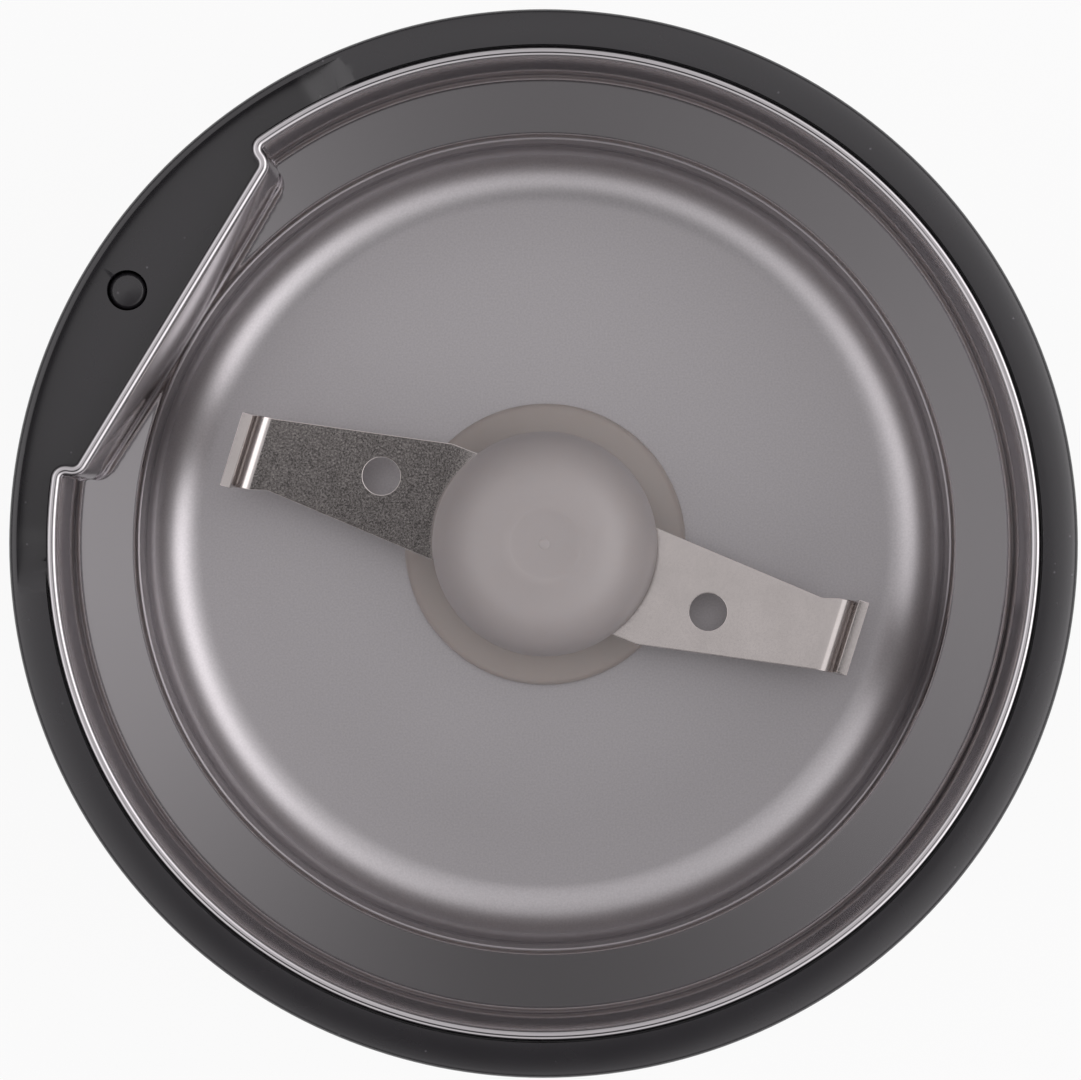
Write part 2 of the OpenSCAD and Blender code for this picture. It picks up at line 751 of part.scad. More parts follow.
module interlock_plunger() {
    pin_top_z = pocket_z - pin_sink;
    tip_r = 0.35;
    color([0.22, 0.21, 0.22]) turn(pocket_az) {
        translate([pin_x, 0, 0]) rotate_extrude() polygon(concat(
            [[0, plunger_arm_z + plunger_arm_t - eps], [pin_r, plunger_arm_z + plunger_arm_t - eps]],
            arc(pin_r - tip_r, pin_top_z - tip_r, tip_r, 0, 90, 4), [[0, pin_top_z]]
        ));
        box(stem_x - 1.6, pin_x + 1, -pin_r, stem_y + 1.6, plunger_arm_z, plunger_arm_z + plunger_arm_t);
        translate([stem_x, stem_y, 0]) rod(stem_r, stem_end_z, plunger_arm_z + eps);
    }
}

module switch_lever() {
    color([0.8, 0.8, 0.82]) turn(pocket_az) translate([stem_x, lever_pivot_y, lever_pivot_z])
    rotate([lever_tilt, 0, 0]) {
        box(-lever_w / 2, lever_w / 2, 0, lever_arm / cos(lever_tilt) + lever_end, -lever_t / 2, lever_t / 2);
        rotate([0, 90, 0]) rod(lever_pin_r, -lever_pin_half, lever_pin_half);
    }
}

module switch_button() {
    color([0.75, 0.2, 0.15]) turn(pocket_az) translate([stem_x, button_y, 0])
        rod(button_r, switch_top_z - button_depth + 1, button_top_z);
}

// Rotor

hub_insert_r = shaft_r + 1.6;
blade_mid_z = floor_z + blade_z;
hub_z = floor_z + bush_h + 0.4;
hub_top_z = blade_mid_z + hub_rise;
shaft_top_z = hub_top_z - 3.5;

module motor_shaft() { color([0.7, 0.7, 0.72]) rod(shaft_r, shaft_z, shaft_top_z); }

module armature_core() {
    slot_w = 2.4;
    slot_depth = 5.6;
    color([0.45, 0.46, 0.48]) translate([0, 0, stack_z + 0.5]) linear_extrude(stack_l - 1) difference() {
        circle(r = armature_r);
        circle(r = shaft_r);
        for (i = [0 : armature_slots - 1]) turn(360 / armature_slots * i) {
            translate([armature_r - slot_depth, 0]) circle(r = slot_w / 2 + 0.4);
            translate([armature_r - slot_depth, -slot_w / 2]) square([slot_depth - 1.2, slot_w]);
            translate([armature_r - 1.4, -0.9]) square([3, 1.8]);
        }
    }
}

// Wound ends of the armature, one below and one above the stack
module armature_winding() {
    out_r = armature_r - 1.2;
    in_r = shaft_r + 1.5;
    color([0.7, 0.38, 0.17]) for (end = [0, 1]) {
        z0 = end == 0 ? stack_z + 0.5 : stack_top_z - 0.5;
        translate([0, 0, z0]) mirror([0, 0, 1 - end]) rotate_extrude() polygon(concat(
            [[in_r, 0], [out_r, 0]], arc(out_r - 2.5, winding_h - 2.5, 2.5, 0, 90, 5), [[in_r, winding_h - 1.5]]
        ));
    }
}

module commutator() {
    color([0.75, 0.46, 0.22]) translate([0, 0, commutator_z]) linear_extrude(commutator_h) difference() {
        circle(r = commutator_r);
        circle(r = shaft_r);
        for (i = [0 : commutator_bars - 1]) turn(360 / commutator_bars * i)
            translate([commutator_r - 1, -0.2]) square([2, 0.4]);
    }
}

module cooling_fan() {
    color([0.14, 0.14, 0.15]) difference() {
        union() {
            rod(fan_d / 2, fan_z, fan_z + fan_disc_t);
            rod(shaft_r + 2.5, fan_z, fan_top_z);
            for (i = [0 : fan_blades - 1]) turn(360 / fan_blades * i)
                box(shaft_r + 5, fan_d / 2, -0.6, 0.6, fan_z + fan_disc_t - eps, fan_top_z);
        }
        rod(shaft_r, fan_z - 1, fan_top_z + 1);
    }
}

module thrust_washers() {
    color([0.8, 0.78, 0.7]) {
        tube(shaft_r + 2, shaft_r, fan_top_z, fan_top_z + washer_t);
        tube(shaft_r + 2, shaft_r, lower_bearing_top_z + run_gap, lower_bearing_top_z + run_gap + washer_t);
    }
}

// Brass sleeve inside the hub, on the end of the shaft
module hub_insert() {
    color([0.78, 0.62, 0.3]) tube(hub_insert_r, shaft_r, hub_z + 0.6, shaft_top_z);
}

// Side profile of the whole sheet: flat middle, rising wings, tips bent up
module blade_profile() {
    half_t = blade_t / 2;
    bend_u = hub_d / 2 - 2.4;
    function wing_point(u, w) = [
        bend_u + (u - bend_u) * cos(blade_rise) - w * sin(blade_rise),
        w * cos(blade_rise) + (u - bend_u) * sin(blade_rise)
    ];
    centre_w = half_t + tip_bend_r;
    lip = [cos(tip_bend), sin(tip_bend)] * tip_lip;
    inner = arc(blade_reach, centre_w, tip_bend_r, -90, tip_bend - 90, 8);
    outer = arc(blade_reach, centre_w, tip_bend_r + blade_t, tip_bend - 90, -90, 8);
    edge = concat(inner, [inner[8] + lip], [outer[0] + lip], outer);
    tip = [for (p = edge) wing_point(p[0], p[1])];
    polygon(concat(
        [[bend_u, half_t]], tip, [[bend_u, -half_t]],
        [[-bend_u, -half_t]], [for (k = [len(tip) - 1 : -1 : 0]) [-tip[k][0], tip[k][1]]], [[-bend_u, half_t]]
    ));
}

// Plan of the sheet: two wings, each the other turned half round, on a round middle
module blade_plan() {
    root_u = hub_d / 2 - 2.4;
    tip_u = blade_reach + tip_bend_r + blade_t + tip_lip;
    wing = [
        [root_u, -6], [root_u + 3, -6.2], [blade_reach, -3.5], [tip_u, -3.2],
        [tip_u, 3.7], [blade_reach, 3.3], [blade_reach - 1.4, 2.9], [root_u, 4.6]
    ];
    difference() {
        union() {
            polygon(concat(wing, -wing));
            circle(r = hub_d / 2 - 1.8);
        }
        for (side = [0, 180]) turn(side) translate([16, -1.45]) circle(d = wing_hole_d);
    }
}

module blade_solid() {
    low = blade_mid_z - 3;
    turn(blade_az) intersection() {
        translate([0, hub_d, blade_mid_z]) rotate([90, 0, 0]) linear_extrude(2 * hub_d) blade_profile();
        translate([0, 0, low]) linear_extrude(20) blade_plan();
    }
}

module blade() {
    color([0.74, 0.73, 0.71]) difference() {
        blade_solid();
        rod(hub_insert_r, blade_mid_z - 3, blade_mid_z + 3);
    }
}

// Moulded hub over the blade's middle: a straight skirt, a low dome and a shallow dimple with its gate mark
module hub_body() {
    r = hub_d / 2;
    dome_z = blade_mid_z + 1.6;
    dome_h = hub_top_z - dome_z;
    dimple_r = 3.2;
    dome = [for (i = [0 : 11]) let (a = 90 * i / 12) [r * pow(cos(a), 0.62), dome_z + dome_h * sin(a)]];
    rotate_extrude() polygon(concat(
        [[hub_insert_r, hub_z], [r - 0.6, hub_z], [r, hub_z + 0.6]],
        [for (p = dome) if (p[0] > dimple_r + 0.6) p],
        [[dimple_r, hub_top_z - 0.1], [dimple_r * 0.55, hub_top_z - 0.45], [0.45, hub_top_z - 0.5],
         [0.35, hub_top_z - 0.15], [0, hub_top_z - 0.1], [0, shaft_top_z], [hub_insert_r, shaft_top_z]]
    ));
}

module blade_hub() {
    color([0.9, 0.9, 0.88]) difference() {
        hub_body();
        blade_solid();
    }
}

housing();
grinding_bowl();
bowl_gasket();
bowl_bush();
upper_bracket();
upper_bearing();
stator_core();
field_coil_left();
field_coil_right();
lower_bracket();
lower_bearing();
brush_holder_left();
brush_holder_right();
brush_left();
brush_right();
brush_spring_left();
brush_spring_right();
brush_cap_left();
brush_cap_right();
motor_screws();
bracket_screws();
base_cover();
base_screws();
rubber_feet();
cord_grommet();
switch_holder();
microswitch();
plunger_spring();
motor_shaft();
armature_core();
armature_winding();
commutator();
cooling_fan();
thrust_washers();
hub_insert();
blade();
blade_hub();
interlock_plunger();
switch_lever();
switch_button();
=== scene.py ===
"""Base unit of an electric blade coffee grinder: visible pieces, finishes and studio.

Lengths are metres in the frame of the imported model: +Z up, origin under the middle of the housing.
"""

import json
import math

import bmesh
import bpy
from mathutils import Matrix, Vector


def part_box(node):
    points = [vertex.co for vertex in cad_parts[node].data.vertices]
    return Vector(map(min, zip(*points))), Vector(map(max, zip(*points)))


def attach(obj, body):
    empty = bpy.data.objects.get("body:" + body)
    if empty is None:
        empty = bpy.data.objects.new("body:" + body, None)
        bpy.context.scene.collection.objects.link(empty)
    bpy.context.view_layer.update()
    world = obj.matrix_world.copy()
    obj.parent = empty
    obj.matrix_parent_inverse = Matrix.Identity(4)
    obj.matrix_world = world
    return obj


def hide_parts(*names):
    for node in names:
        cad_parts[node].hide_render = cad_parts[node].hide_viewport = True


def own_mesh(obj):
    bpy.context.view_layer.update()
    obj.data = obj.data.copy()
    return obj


bl_info = {
    "name": "Coffee grinder base unit",
    "version": (1, 0, 0),
    "blender": (4, 5, 0),
    "location": "View3D > Sidebar > Grinder",
    "description": "Builds the visible pieces, finishes and studio of a blade coffee grinder",
    "category": "Object",
}

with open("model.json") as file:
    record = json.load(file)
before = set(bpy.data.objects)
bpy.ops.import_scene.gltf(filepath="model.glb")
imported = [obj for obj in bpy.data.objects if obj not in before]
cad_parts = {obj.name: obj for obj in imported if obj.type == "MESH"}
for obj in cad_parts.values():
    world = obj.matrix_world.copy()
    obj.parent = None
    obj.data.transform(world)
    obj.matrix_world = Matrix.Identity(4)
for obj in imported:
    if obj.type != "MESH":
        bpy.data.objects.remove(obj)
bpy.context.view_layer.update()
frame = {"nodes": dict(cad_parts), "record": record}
MM = 0.001

# Points closer than this are one, and cutters reach this far past what they cut
MERGE = 0.002 * MM
CLEAR = 2 * MM

# Radius at which the end faces of a turned solid close
AXIS_R = 0.02 * MM

# How finely outlines and turned solids are divided
ROUND_STEPS = 260
FLAT_STEPS = 28
SIDE_STEPS = 6
CORNER_STEPS = 10
NOOK_STEPS = 8
HOLE_STEPS = 64
EDGE_STEPS = 6
HOUSING_TURNS = 256
SMALL_TURNS = 96
HUB_TURNS = 128

# Width of the picture in pixels, and how far the ring's middle lies off the picture's middle
PICTURE_PX = 1081
OFF_X_PX = -3.0
OFF_Y_PX = 3.5

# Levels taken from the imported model
RING_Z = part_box("housing")[1].z
HOUSING_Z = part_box("housing")[0].z
BUSH_TOP_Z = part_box("bowl_bush")[1].z
BUSH_FOOT_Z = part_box("bowl_bush")[0].z
HUB_FOOT_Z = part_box("blade_hub")[0].z
HUB_TOP_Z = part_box("blade_hub")[1].z


def linear(hex_colour):
    """Linear RGBA of an sRGB colour written as six hex digits."""
    channels = [int(hex_colour[i : i + 2], 16) / 255 for i in (0, 2, 4)]
    return [c / 12.92 if c <= 0.04045 else ((c + 0.055) / 1.055) ** 2.4 for c in channels] + [1.0]


# Settings shown in the sidebar


def length(name, description, millimetres):
    """A length property with its default given in millimetres."""
    return bpy.props.FloatProperty(
        name=name, description=description, default=millimetres * MM,
        subtype="DISTANCE", unit="LENGTH", precision=5,
    )


def angle(name, description, degrees):
    """An angle property with its default given in degrees."""
    return bpy.props.FloatProperty(
        name=name, description=description, default=math.radians(degrees),
        subtype="ANGLE", unit="ROTATION",
    )


def colour(name, description, hex_colour):
    """A colour property with its default given as an sRGB hex value."""
    return bpy.props.FloatVectorProperty(
        name=name, description=description, default=linear(hex_colour),
        subtype="COLOR", size=4, min=0, max=1,
    )


class GrinderHousingSizes(bpy.types.PropertyGroup):
    """Sizes of the moulded housing and of the recess for the lid's button"""

    ring_r: length("Ring radius", "Outer radius of the ring round the bowl", 46)
    foot_flare: length("Foot flare", "How far the housing flares out at the foot", 3)
    flare_z: length("Flare height", "Height at which the flare starts", 80)
    wall: length("Wall", "Thickness of the housing wall", 2)
    edge_r: length("Edge radius", "Rounding of the ring's outer edge", 0.6)
    soft_r: length("Soft edges", "Rounding of the other moulded edges", 0.18)
    seat_gap: length("Seat gap", "Gap between the bowl and its seat", 0.1)
    crown_tilt: angle("Crown tilt", "Tilt of the crowned ring at its outer edge", 15)
    pocket_az: angle("Recess direction", "Direction of the recess, counted from +X", 148.7)
    pocket_half: angle("Recess half angle", "Half of the angle that the recess spans", 34)
    pocket_depth: length("Recess depth", "Depth of the recess below the ring", 2.2)
    pocket_lip: length("Recess lip", "Width of the lip outside the recess", 0.7)
    plate_t: length("Plate", "Thickness of the recess floor", 2.5)
    pin_x: length("Pin distance", "Distance of the interlock pin from the axis", 42.1)
    pin_r: length("Pin radius", "Radius of the interlock pin", 1.65)
    pin_gap: length("Pin gap", "Gap round the interlock pin", 0.1)
    pin_soft: length("Pin edge", "Rounding of the interlock pin's end", 0.5)
    pin_dome: length("Pin dome", "How far the pin's end rises from its edge to its middle", 0.08)
    arm_t: length("Arm", "Thickness of the arm under the interlock pin", 2)
    arm_edge: length("Arm edge", "How far the arm reaches past the middle of its stem", 1.6)
    stem_r: length("Stem radius", "Radius of the stem that the return spring sits on", 1.2)
    arm_tip: length("Arm tip", "How far the arm reaches past the middle of the pin", 1)
    arm_soft: length("Arm edges", "Rounding of the edges of arm and stem", 0.12)
    pin_travel: length("Pin travel", "How far the lid's button pushes the pin down", 2)
    spring_wire: length("Spring wire", "Thickness of the return spring's wire", 0.4)
    cord_z: length("Cord height", "Height of the cord outlet", 16.5)
    cord_hole_r: length("Cord hole", "Radius of the hole that holds the grommet", 4.85)
    cord_bore_r: length("Grommet bore", "Radius of the bore for the cord", 3.25)
    grommet_lip: length("Grommet lip", "How far the grommet's flange reaches past the hole", 1.4)
    grommet_soft: length("Grommet edge", "Rounding of the grommet's flanges", 0.5)
    grommet_tuck: length("Grommet tuck", "How far the outer flange reaches into the curved wall", 0.5)
    grommet_flange: length("Grommet flange", "How far the grommet stands out of the wall", 1.6)


class GrinderBowlSizes(bpy.types.PropertyGroup):
    """Sizes of the pressed steel bowl"""

    mouth_r: length("Mouth radius", "Inner radius of the upright wall", 41.8)
    chord_x: length("Flat distance", "Distance of the flat wall from the axis", 36.9)
    chord_half: angle("Flat half angle", "Half of the angle that the flat wall spans", 23.2)
    corner_r: length("Flat corner", "Rounding where the flat wall turns outwards", 1.5)
    nook_r: length("Nook fillet", "Fillet where the side walls meet the round wall", 0.35)
    wall_h: length("Upright wall", "Height of the upright wall", 15.2)
    slope_h: length("Slope", "Height of the sloping wall", 3.35)
    cup_r: length("Cup radius", "Inner radius of the lower bowl", 36.5)
    shoulder_r: length("Shoulder", "Rounding at the top of the lower bowl", 1.5)
    floor_fillet: length("Floor fillet", "Fillet between floor and wall", 5)
    depth: length("Depth", "Depth of the floor below the ring", 31.5)
    sheet: length("Sheet", "Thickness of the steel", 0.6)
    rim_w: length("Rim width", "Width of the turned-out rim", 1.0)
    rim_h: length("Rim height", "Height of the turned-out rim", 0.8)
    seam_r: length("Draw radius", "Softening where the flat wall runs into the slope", 0.7)


class GrinderBladeSizes(bpy.types.PropertyGroup):
    """Sizes of the blade, its hub and the bush under it"""

    azimuth: angle("Blade direction", "Direction of the blade at rest", -17.4)
    hold: length("Hold", "How far the hub holds each wing", 2.4)
    reach: length("Reach", "Distance from the axis to the bend of the tips", 27)
    sheet: length("Sheet", "Thickness of the blade", 1.0)
    rise: angle("Rise", "Rise of the wings towards their tips", 5)
    bend: angle("Tip bend", "Angle by which the tips are bent up", 78)
    bend_r: length("Bend radius", "Inside radius of the tip bend", 1.6)
    lip: length("Tip lip", "Straight length after the bend", 1.5)
    level: length("Level", "Height of the blade above the bowl floor", 7.5)
    edge_r: length("Stamped edges", "Rounding of the stamped edges", 0.09)
    hole_r: length("Hole radius", "Radius of the hole in each wing", 1.7)
    hole_u: length("Hole distance", "Distance of each hole from the axis along the wing", 16)
    hole_v: length("Hole offset", "Offset of each hole across the wing", -1.45)
    hub_r: length("Hub radius", "Radius of the hub", 10.2)
    hub_side: length("Hub side", "Height of the hub's upright side above the blade", 1.6)
    hub_dish_r: length("Hub dish", "Radius of the shallow dish on the hub", 3.2)
    bush_r: length("Bush radius", "Radius of the bush on the bowl floor", 13)
    bush_neck: length("Bush neck", "Wall of the bush's neck round the shaft", 4)
    bush_edge: length("Bush edge", "Rounding of the bush's edge", 0.8)
    bush_fall: length("Bush fall", "How far the bush falls from the hub to its edge", 0.9)
    shaft_r: length("Shaft radius", "Radius of the motor shaft", 3)


class GrinderColours(bpy.types.PropertyGroup):
    """Colours of the finishes"""

    housing: colour("Housing", "Dark moulded ABS", "1c1a1e")
    steel: colour("Bowl steel", "Stainless steel of the bowl", "cecbcd")
    blade: colour("Blade steel", "Stainless steel of the blade", "cfc9c6")
    hub: colour("Hub", "Natural nylon of the hub", "b0aaa9")
    bush: colour("Bush", "Natural nylon of the bush", "bcb4af")
    floor: colour("Studio floor", "Plain pale floor", "f4f4f4")


class GrinderStudio(bpy.types.PropertyGroup):
    """Camera and light"""

    camera_rise: length("Camera height", "Height of the camera above the ring", 400)
    camera_x: length("Camera X", "Offset of the camera from the axis", 2.0)
    camera_y: length("Camera Y", "Offset of the camera from the axis", -0.8)
    frame_w: length("Frame width", "Width of the picture at the level of the ring", 92.84)
    overhead: bpy.props.FloatProperty(
        name="Overhead", description="Strength of the overhead panel", default=0.68
    )
    high: bpy.props.FloatVectorProperty(
        name="High sides", description="Light half way up, right, top, left and bottom", size=4,
        default=(2.1, 0.6, 1.2, 0.75),
    )
    low: bpy.props.FloatVectorProperty(
        name="Low sides", description="Low light, right, top, left and bottom", size=4,
        default=(0.42, 0.12, 0.3, 0.18),
    )


def settings(scene):
    """Sizes of the housing, the bowl and the blade, and the colours, as set in a scene."""
    return scene.grinder_housing, scene.grinder_bowl, scene.grinder_blade, scene.grinder_colours


# Mesh helpers


def arc(cx, cy, r, start, end, steps):
    """Points of an arc, with angles in degrees."""
    span = [math.radians(start + (end - start) * i / steps) for i in range(steps + 1)]
    return [(cx + r * math.cos(a), cy + r * math.sin(a)) for a in span]


def loft(rings, closed):
    """A bmesh of quads through rings of equally many points; points that fall together share a vertex."""
    bm = bmesh.new()
    rows = [[bm.verts.new(p) for p in ring] for ring in rings]
    pairs = list(zip(rows, rows[1:])) + ([(rows[-1], rows[0])] if closed else [])
    for low, high in pairs:
        for i in range(len(low)):
            j = (i + 1) % len(low)
            bm.faces.new((low[i], low[j], high[j], high[i]))
    if not closed:
        bm.faces.new(reversed(rows[0]))
        bm.faces.new(rows[-1])
    bmesh.ops.remove_doubles(bm, verts=bm.verts, dist=MERGE)
    bmesh.ops.dissolve_degenerate(bm, edges=bm.edges, dist=MERGE)
    bmesh.ops.recalc_face_normals(bm, faces=bm.faces)
    return bm


def circle(cx, cy, r, steps):
    """Points of a full circle, the first not repeated."""
    return arc(cx, cy, r, 0, 360, steps)[:-1]


def lathe(profile, steps, closed=True):
    """A bmesh of a profile of (radius, height) points turned about Z."""
    turns = [2 * math.pi * i / steps for i in range(steps)]
    return loft([[(r * math.cos(a), r * math.sin(a), z) for a in turns] for r, z in profile], closed)


def prism(outline, z0, z1):
    """A bmesh of a flat outline raised from one height to another."""
    return loft([[(x, y, z) for x, y in outline] for z in (z0, z1)], closed=False)


def made(name, bm, body, material, sharp=35):
    """Turn a bmesh into a smooth-shaded piece that rides on a body."""
    mesh = bpy.data.meshes.new(name)
    bm.to_mesh(mesh)
    bm.free()
    mesh.shade_smooth()
    mesh.set_sharp_from_angle(angle=math.radians(sharp))
    piece = bpy.data.objects.new(name, mesh)
    bpy.context.scene.collection.objects.link(piece)
    mesh.materials.append(material)
    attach(piece, body)
    return piece


def cut(piece, cutter_bm, operation="DIFFERENCE"):
    """Cut a bmesh solid out of a piece, or join it on."""
    mesh = bpy.data.meshes.new("cutter")
    cutter_bm.to_mesh(mesh)
    cutter_bm.free()
    cutter = bpy.data.objects.new("cutter", mesh)
    bpy.context.scene.collection.objects.link(cutter)
    step = piece.modifiers.new("cut", "BOOLEAN")
    step.operation = operation
    step.object = cutter
    step.solver = "EXACT"
    settle(piece)
    bpy.data.objects.remove(cutter)
    bpy.data.meshes.remove(mesh)


def settle(piece):
    """Make the result of a piece's modifiers its own mesh."""
    graph = bpy.context.evaluated_depsgraph_get()
    mesh = bpy.data.meshes.new_from_object(piece.evaluated_get(graph))
    old = piece.data
    piece.modifiers.clear()
    piece.data = mesh
    mesh.name = piece.name
    bpy.data.meshes.remove(old)


def soften(piece, width, segments=3, limit=40, sharp=35):
    """Round a piece's edges and keep flat faces flat."""
    step = piece.modifiers.new("edges", "BEVEL")
    step.width = width
    step.segments = segments
    step.limit_method = "ANGLE"
    step.angle_limit = math.radians(limit)
    settle(piece)
    piece.data.shade_smooth()
    piece.data.set_sharp_from_angle(angle=math.radians(sharp))
    step = piece.modifiers.new("flat faces", "WEIGHTED_NORMAL")
    step.weight = 100
    step.keep_sharp = True
    settle(piece)


def turned(points, azimuth):
    """Flat points turned about the origin."""
    c, s = math.cos(azimuth), math.sin(azimuth)
    return [(x * c - y * s, x * s + y * c) for x, y in points]


# Materials


def add_node(tree, kind, links=None, values=None, **options):
    """Add one node with its options, socket values and incoming links."""
    node = tree.nodes.new(kind)
    for option, value in options.items():
        setattr(node, option, value)
    for socket, value in (values or {}).items():
        node.inputs[socket].default_value = value
    for socket, source in (links or {}).items():
        tree.links.new(source, node.inputs[socket])
    return node


def new_material(name):
    """An empty node material with its shader and output; gives the material, its tree and the shader."""
    material = bpy.data.materials.new(name)
    material.use_nodes = True
    tree = material.node_tree
    tree.nodes.clear()
    shader = add_node(tree, "ShaderNodeBsdfPrincipled")
    add_node(tree, "ShaderNodeOutputMaterial", links={"Surface": shader.outputs["BSDF"]})
    return material, tree, shader


def per_mm(millimetres):
    """Texture scale whose features are about this many millimetres across."""
    return 1 / (millimetres * MM)


def moulded_abs(base):
    """Moulded ABS with a spark-eroded matt grain: dark, a soft broad sheen, a little dust."""
    material, tree, shader = new_material("abs_moulded_matt")
    place = add_node(tree, "ShaderNodeTexCoord").outputs["Object"]
    # the real grain is about 0.1 mm; drawn at 0.22 mm so that it shows
    grain = add_node(tree, "ShaderNodeTexNoise", {"Vector": place}, {"Scale": per_mm(0.22), "Detail": 2.0})
    cloud = add_node(tree, "ShaderNodeTexNoise", {"Vector": place}, {"Scale": per_mm(9), "Detail": 3.0})
    dust = add_node(tree, "ShaderNodeTexVoronoi", {"Vector": place}, {"Scale": per_mm(2.2)}, feature="F1")
    speck = add_node(
        tree, "ShaderNodeMapRange", {"Value": dust.outputs["Distance"]},
        {"From Min": 0.02, "From Max": 0.06, "To Min": 0.35, "To Max": 0.0},
    )
    pale = [min(1, c * 1.25) for c in base[:3]] + [1]
    deep = [c * 0.88 for c in base[:3]] + [1]
    shade = add_node(
        tree, "ShaderNodeMix", {"Factor": cloud.outputs["Fac"]}, {"A": deep, "B": pale}, data_type="RGBA"
    )
    tint = add_node(
        tree, "ShaderNodeMix", {"Factor": speck.outputs["Result"], "A": shade.outputs["Result"]},
        {"B": linear("8d8a90")}, data_type="RGBA",
    )
    rough = add_node(
        tree, "ShaderNodeMapRange", {"Value": cloud.outputs["Fac"]}, {"To Min": 0.24, "To Max": 0.3}
    )
    bump = add_node(
        tree, "ShaderNodeBump", {"Height": grain.outputs["Fac"]}, {"Strength": 0.12, "Distance": 0.02 * MM}
    )
    tree.links.new(tint.outputs["Result"], shader.inputs["Base Color"])
    tree.links.new(rough.outputs["Result"], shader.inputs["Roughness"])
    tree.links.new(bump.outputs["Normal"], shader.inputs["Normal"])
    shader.inputs["IOR"].default_value = 1.53
    shader.inputs["Specular IOR Level"].default_value = 0.85
    return material


def spun_steel(base, satin_z):
    """Stainless sheet, drawn and polished above, blasted to an even satin in the lower bowl."""
    material, tree, shader = new_material("stainless_drawn_polished")
    place = add_node(tree, "ShaderNodeTexCoord").outputs["Object"]
    height = add_node(tree, "ShaderNodeSeparateXYZ", {"Vector": place}).outputs["Z"]
    blend = 1.5 * MM
    satin = add_node(
        tree, "ShaderNodeMapRange", {"Value": height},
        {"From Min": satin_z - blend, "From Max": satin_z + blend, "To Min": 1.0, "To Max": 0.0},
    )
    # the blasted grain is finer than 0.1 mm; drawn at 0.18 mm so that it shows
    grain = add_node(tree, "ShaderNodeTexNoise", {"Vector": place}, {"Scale": per_mm(0.18), "Detail": 2.0})
    wear = add_node(tree, "ShaderNodeTexNoise", {"Vector": place}, {"Scale": per_mm(14), "Detail": 4.0})
    satin_rough = add_node(
        tree, "ShaderNodeMapRange", {"Value": wear.outputs["Fac"]}, {"To Min": 0.34, "To Max": 0.42}
    )
    polish_rough = add_node(
        tree, "ShaderNodeMapRange", {"Value": wear.outputs["Fac"]}, {"To Min": 0.06, "To Max": 0.12}
    )
    rough = add_node(
        tree, "ShaderNodeMix",
        {
            "Factor": satin.outputs["Result"],
            "A": polish_rough.outputs["Result"],
            "B": satin_rough.outputs["Result"],
        },
    )
    speck = add_node(
        tree, "ShaderNodeMapRange", {"Value": grain.outputs["Fac"]},
        {"From Min": 0.3, "From Max": 0.7, "To Min": 0.88, "To Max": 1.0},
    )
    toned = add_node(
        tree, "ShaderNodeMix", {"Factor": satin.outputs["Result"], "B": speck.outputs["Result"]}, {"A": 1.0}
    )
    tint = add_node(
        tree, "ShaderNodeVectorMath", {"Scale": toned.outputs["Result"]}, {"Vector": base[:3]},
        operation="SCALE",
    )
    strength = add_node(
        tree, "ShaderNodeMath", {"Value": satin.outputs["Result"]}, {1: 0.08}, operation="MULTIPLY"
    )
    bump = add_node(
        tree, "ShaderNodeBump", {"Height": grain.outputs["Fac"], "Strength": strength.outputs["Value"]},
        {"Distance": 0.01 * MM},
    )
    tree.links.new(tint.outputs["Vector"], shader.inputs["Base Color"])
    tree.links.new(rough.outputs["Result"], shader.inputs["Roughness"])
    tree.links.new(bump.outputs["Normal"], shader.inputs["Normal"])
    shader.inputs["Metallic"].default_value = 1.0
    return material


def rolled_steel(base):
    """Cold-rolled stainless sheet, stamped: bright, with fine pits and scratches along the rolling."""
    material, tree, shader = new_material("stainless_rolled_sheet")
    place = add_node(tree, "ShaderNodeTexCoord").outputs["Object"]
    grain = add_node(tree, "ShaderNodeTexNoise", {"Vector": place}, {"Scale": per_mm(0.16), "Detail": 3.0})
    wear = add_node(tree, "ShaderNodeTexNoise", {"Vector": place}, {"Scale": per_mm(3), "Detail": 4.0})
    rough = add_node(
        tree, "ShaderNodeMapRange", {"Value": grain.outputs["Fac"]},
        {"From Min": 0.3, "From Max": 0.7, "To Min": 0.1, "To Max": 0.24},
    )
    tone = add_node(
        tree, "ShaderNodeMapRange", {"Value": wear.outputs["Fac"]}, {"To Min": 0.86, "To Max": 1.04}
    )
    tint = add_node(
        tree, "ShaderNodeVectorMath", {"Scale": tone.outputs["Result"]}, {"Vector": base[:3]},
        operation="SCALE",
    )
    bump = add_node(
        tree, "ShaderNodeBump", {"Height": grain.outputs["Fac"]}, {"Strength": 0.2, "Distance": 0.005 * MM}
    )
    tree.links.new(tint.outputs["Vector"], shader.inputs["Base Color"])
    tree.links.new(rough.outputs["Result"], shader.inputs["Roughness"])
    tree.links.new(bump.outputs["Normal"], shader.inputs["Normal"])
    shader.inputs["Metallic"].default_value = 1.0
    return material


